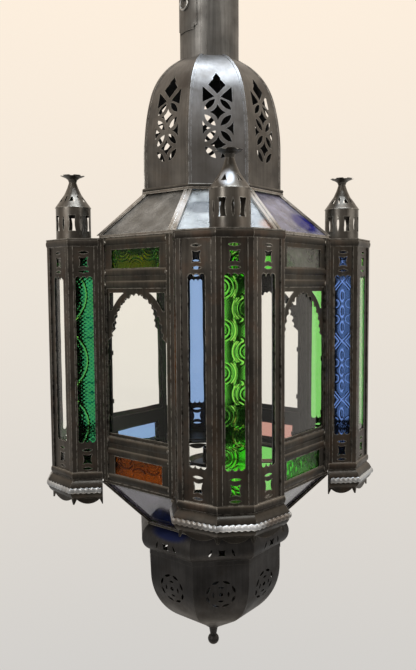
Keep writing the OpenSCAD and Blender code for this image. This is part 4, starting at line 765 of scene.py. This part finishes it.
# The wall behind the lantern (+Y) is bright and the room on the viewer's side is dim. Light that comes in through
# the glass from behind is a little brighter, to make up for what the panes swallow. The spans are heights and
# depths of the world's direction.
stage = {"floorDrop": 1.45, "floorRadius": 0.6, "floorHole": 0.02, "floorSides": 64, "floor": "dedad4",
         "floorRoughness": 0.9, "wallLow": "d0cecb", "wallMiddle": "ece4d9", "wallTop": "fff0de", "middleAt": 0.55,
         "wallSpan": (-0.55, 0.42), "roomGlow": 0.38, "wallGlow": 0.9, "wallReach": (-0.35, 0.45),
         "throughGlass": 1.10, "throughReach": (-0.10, 0.30)}
world = bpy.data.worlds.new("paleWall")
bpy.context.scene.world = world
world.use_nodes = True
tree = world.node_tree
tree.nodes.clear()
direction = addNode(tree, "ShaderNodeTexCoord")
axes = addNode(tree, "ShaderNodeSeparateXYZ", links={0: direction.outputs["Generated"]})
rise = addShare(tree, axes.outputs["Z"], stage["wallSpan"])
wall = addRamp(tree, rise, [(0, linear(stage["wallLow"])), (stage["middleAt"], linear(stage["wallMiddle"])),
                            (1, linear(stage["wallTop"]))])
seen = addNode(tree, "ShaderNodeLightPath")
facing = addShare(tree, axes.outputs["Y"], stage["wallReach"], stage["roomGlow"], stage["wallGlow"])
through = addShare(tree, axes.outputs["Y"], stage["throughReach"], stage["roomGlow"], stage["throughGlass"])
glow = addNode(tree, "ShaderNodeMix", links={"Factor": seen.outputs["Is Transmission Ray"], 2: facing, 3: through})
direct = addNode(tree, "ShaderNodeMix", {3: 1.0}, {"Factor": seen.outputs["Is Camera Ray"], 2: glow.outputs[0]})
wallGlow = addNode(tree, "ShaderNodeBackground", links={"Color": wall, "Strength": direct.outputs[0]})
addNode(tree, "ShaderNodeOutputWorld", links={"Surface": wallGlow.outputs[0]})

around = np.linspace(0, 2 * np.pi, stage["floorSides"] + 1)[:-1]
rows = np.array([stage["floorHole"], 1.0])[:, None] * stage["floorRadius"] / mm
depths = np.full((2, stage["floorSides"]), eyeHeight - stage["floorDrop"] / mm)
disc = np.stack([rows * np.cos(around), rows * np.sin(around), depths], -1)
floor = makeMesh("floor", disc.reshape(-1, 3), gridQuads(2, stage["floorSides"], wrapV=True))
floorPaint, _, shader, _ = newMaterial("palePlaster")
shader.inputs["Base Color"].default_value = linear(stage["floor"])
shader.inputs["Roughness"].default_value = stage["floorRoughness"]
floor.data.materials.append(floorPaint)

lamps = {  # soft boxes: place, what they face (metres), width, height, power in watts, colour
    "highWindow": ((0.12, -0.32, 1.40), (0, -0.05, -0.30), 1.1, 1.1, 27, (0.84, 0.92, 1.0)),
    "leftWindow": ((-1.5, -1.5, 0.35), (0, 0, -0.40), 0.5, 1.5, 22, (1.0, 0.98, 0.95)),
    "roomRight": ((1.7, -1.1, 0.0), (0, 0, -0.45), 1.3, 1.3, 12, (1.0, 0.96, 0.90)),
}
for name, (place, target, wide, high, power, colour) in lamps.items():
    lamp = bpy.data.lights.new(name, "AREA")
    lamp.shape = "RECTANGLE"
    lamp.energy, lamp.size, lamp.size_y, lamp.color = power, wide, high, colour
    box = bpy.data.objects.new(name, lamp)
    bpy.context.scene.collection.objects.link(box)
    box.location = place
    box.rotation_mode = "QUATERNION"
    box.rotation_quaternion = (Vector(target) - Vector(place)).to_track_quat("-Z", "Y")

# the camera's place in metres, its angles in degrees and its lens in mm
view = {"place": (-0.09724, -0.83654, -0.40233), "heading": 6.342, "down": 4.0687, "roll": -0.417, "lens": 35.78,
        "sensor": 36}
cameraData = bpy.data.cameras.new("photoCamera")
cameraData.lens, cameraData.sensor_width = view["lens"], view["sensor"]
camera = bpy.data.objects.new("photoCamera", cameraData)
bpy.context.scene.collection.objects.link(camera)
camera.location = view["place"]
turn = (Matrix.Rotation(math.radians(-view["heading"]), 3, "Z")
        @ Matrix.Rotation(math.radians(90 - view["down"]), 3, "X")
        @ Matrix.Rotation(math.radians(view["roll"]), 3, "Z"))
camera.rotation_euler = turn.to_euler()
bpy.context.scene.camera = camera
bpy.context.scene.view_settings.view_transform = "Standard"
print("stage, light and camera set")
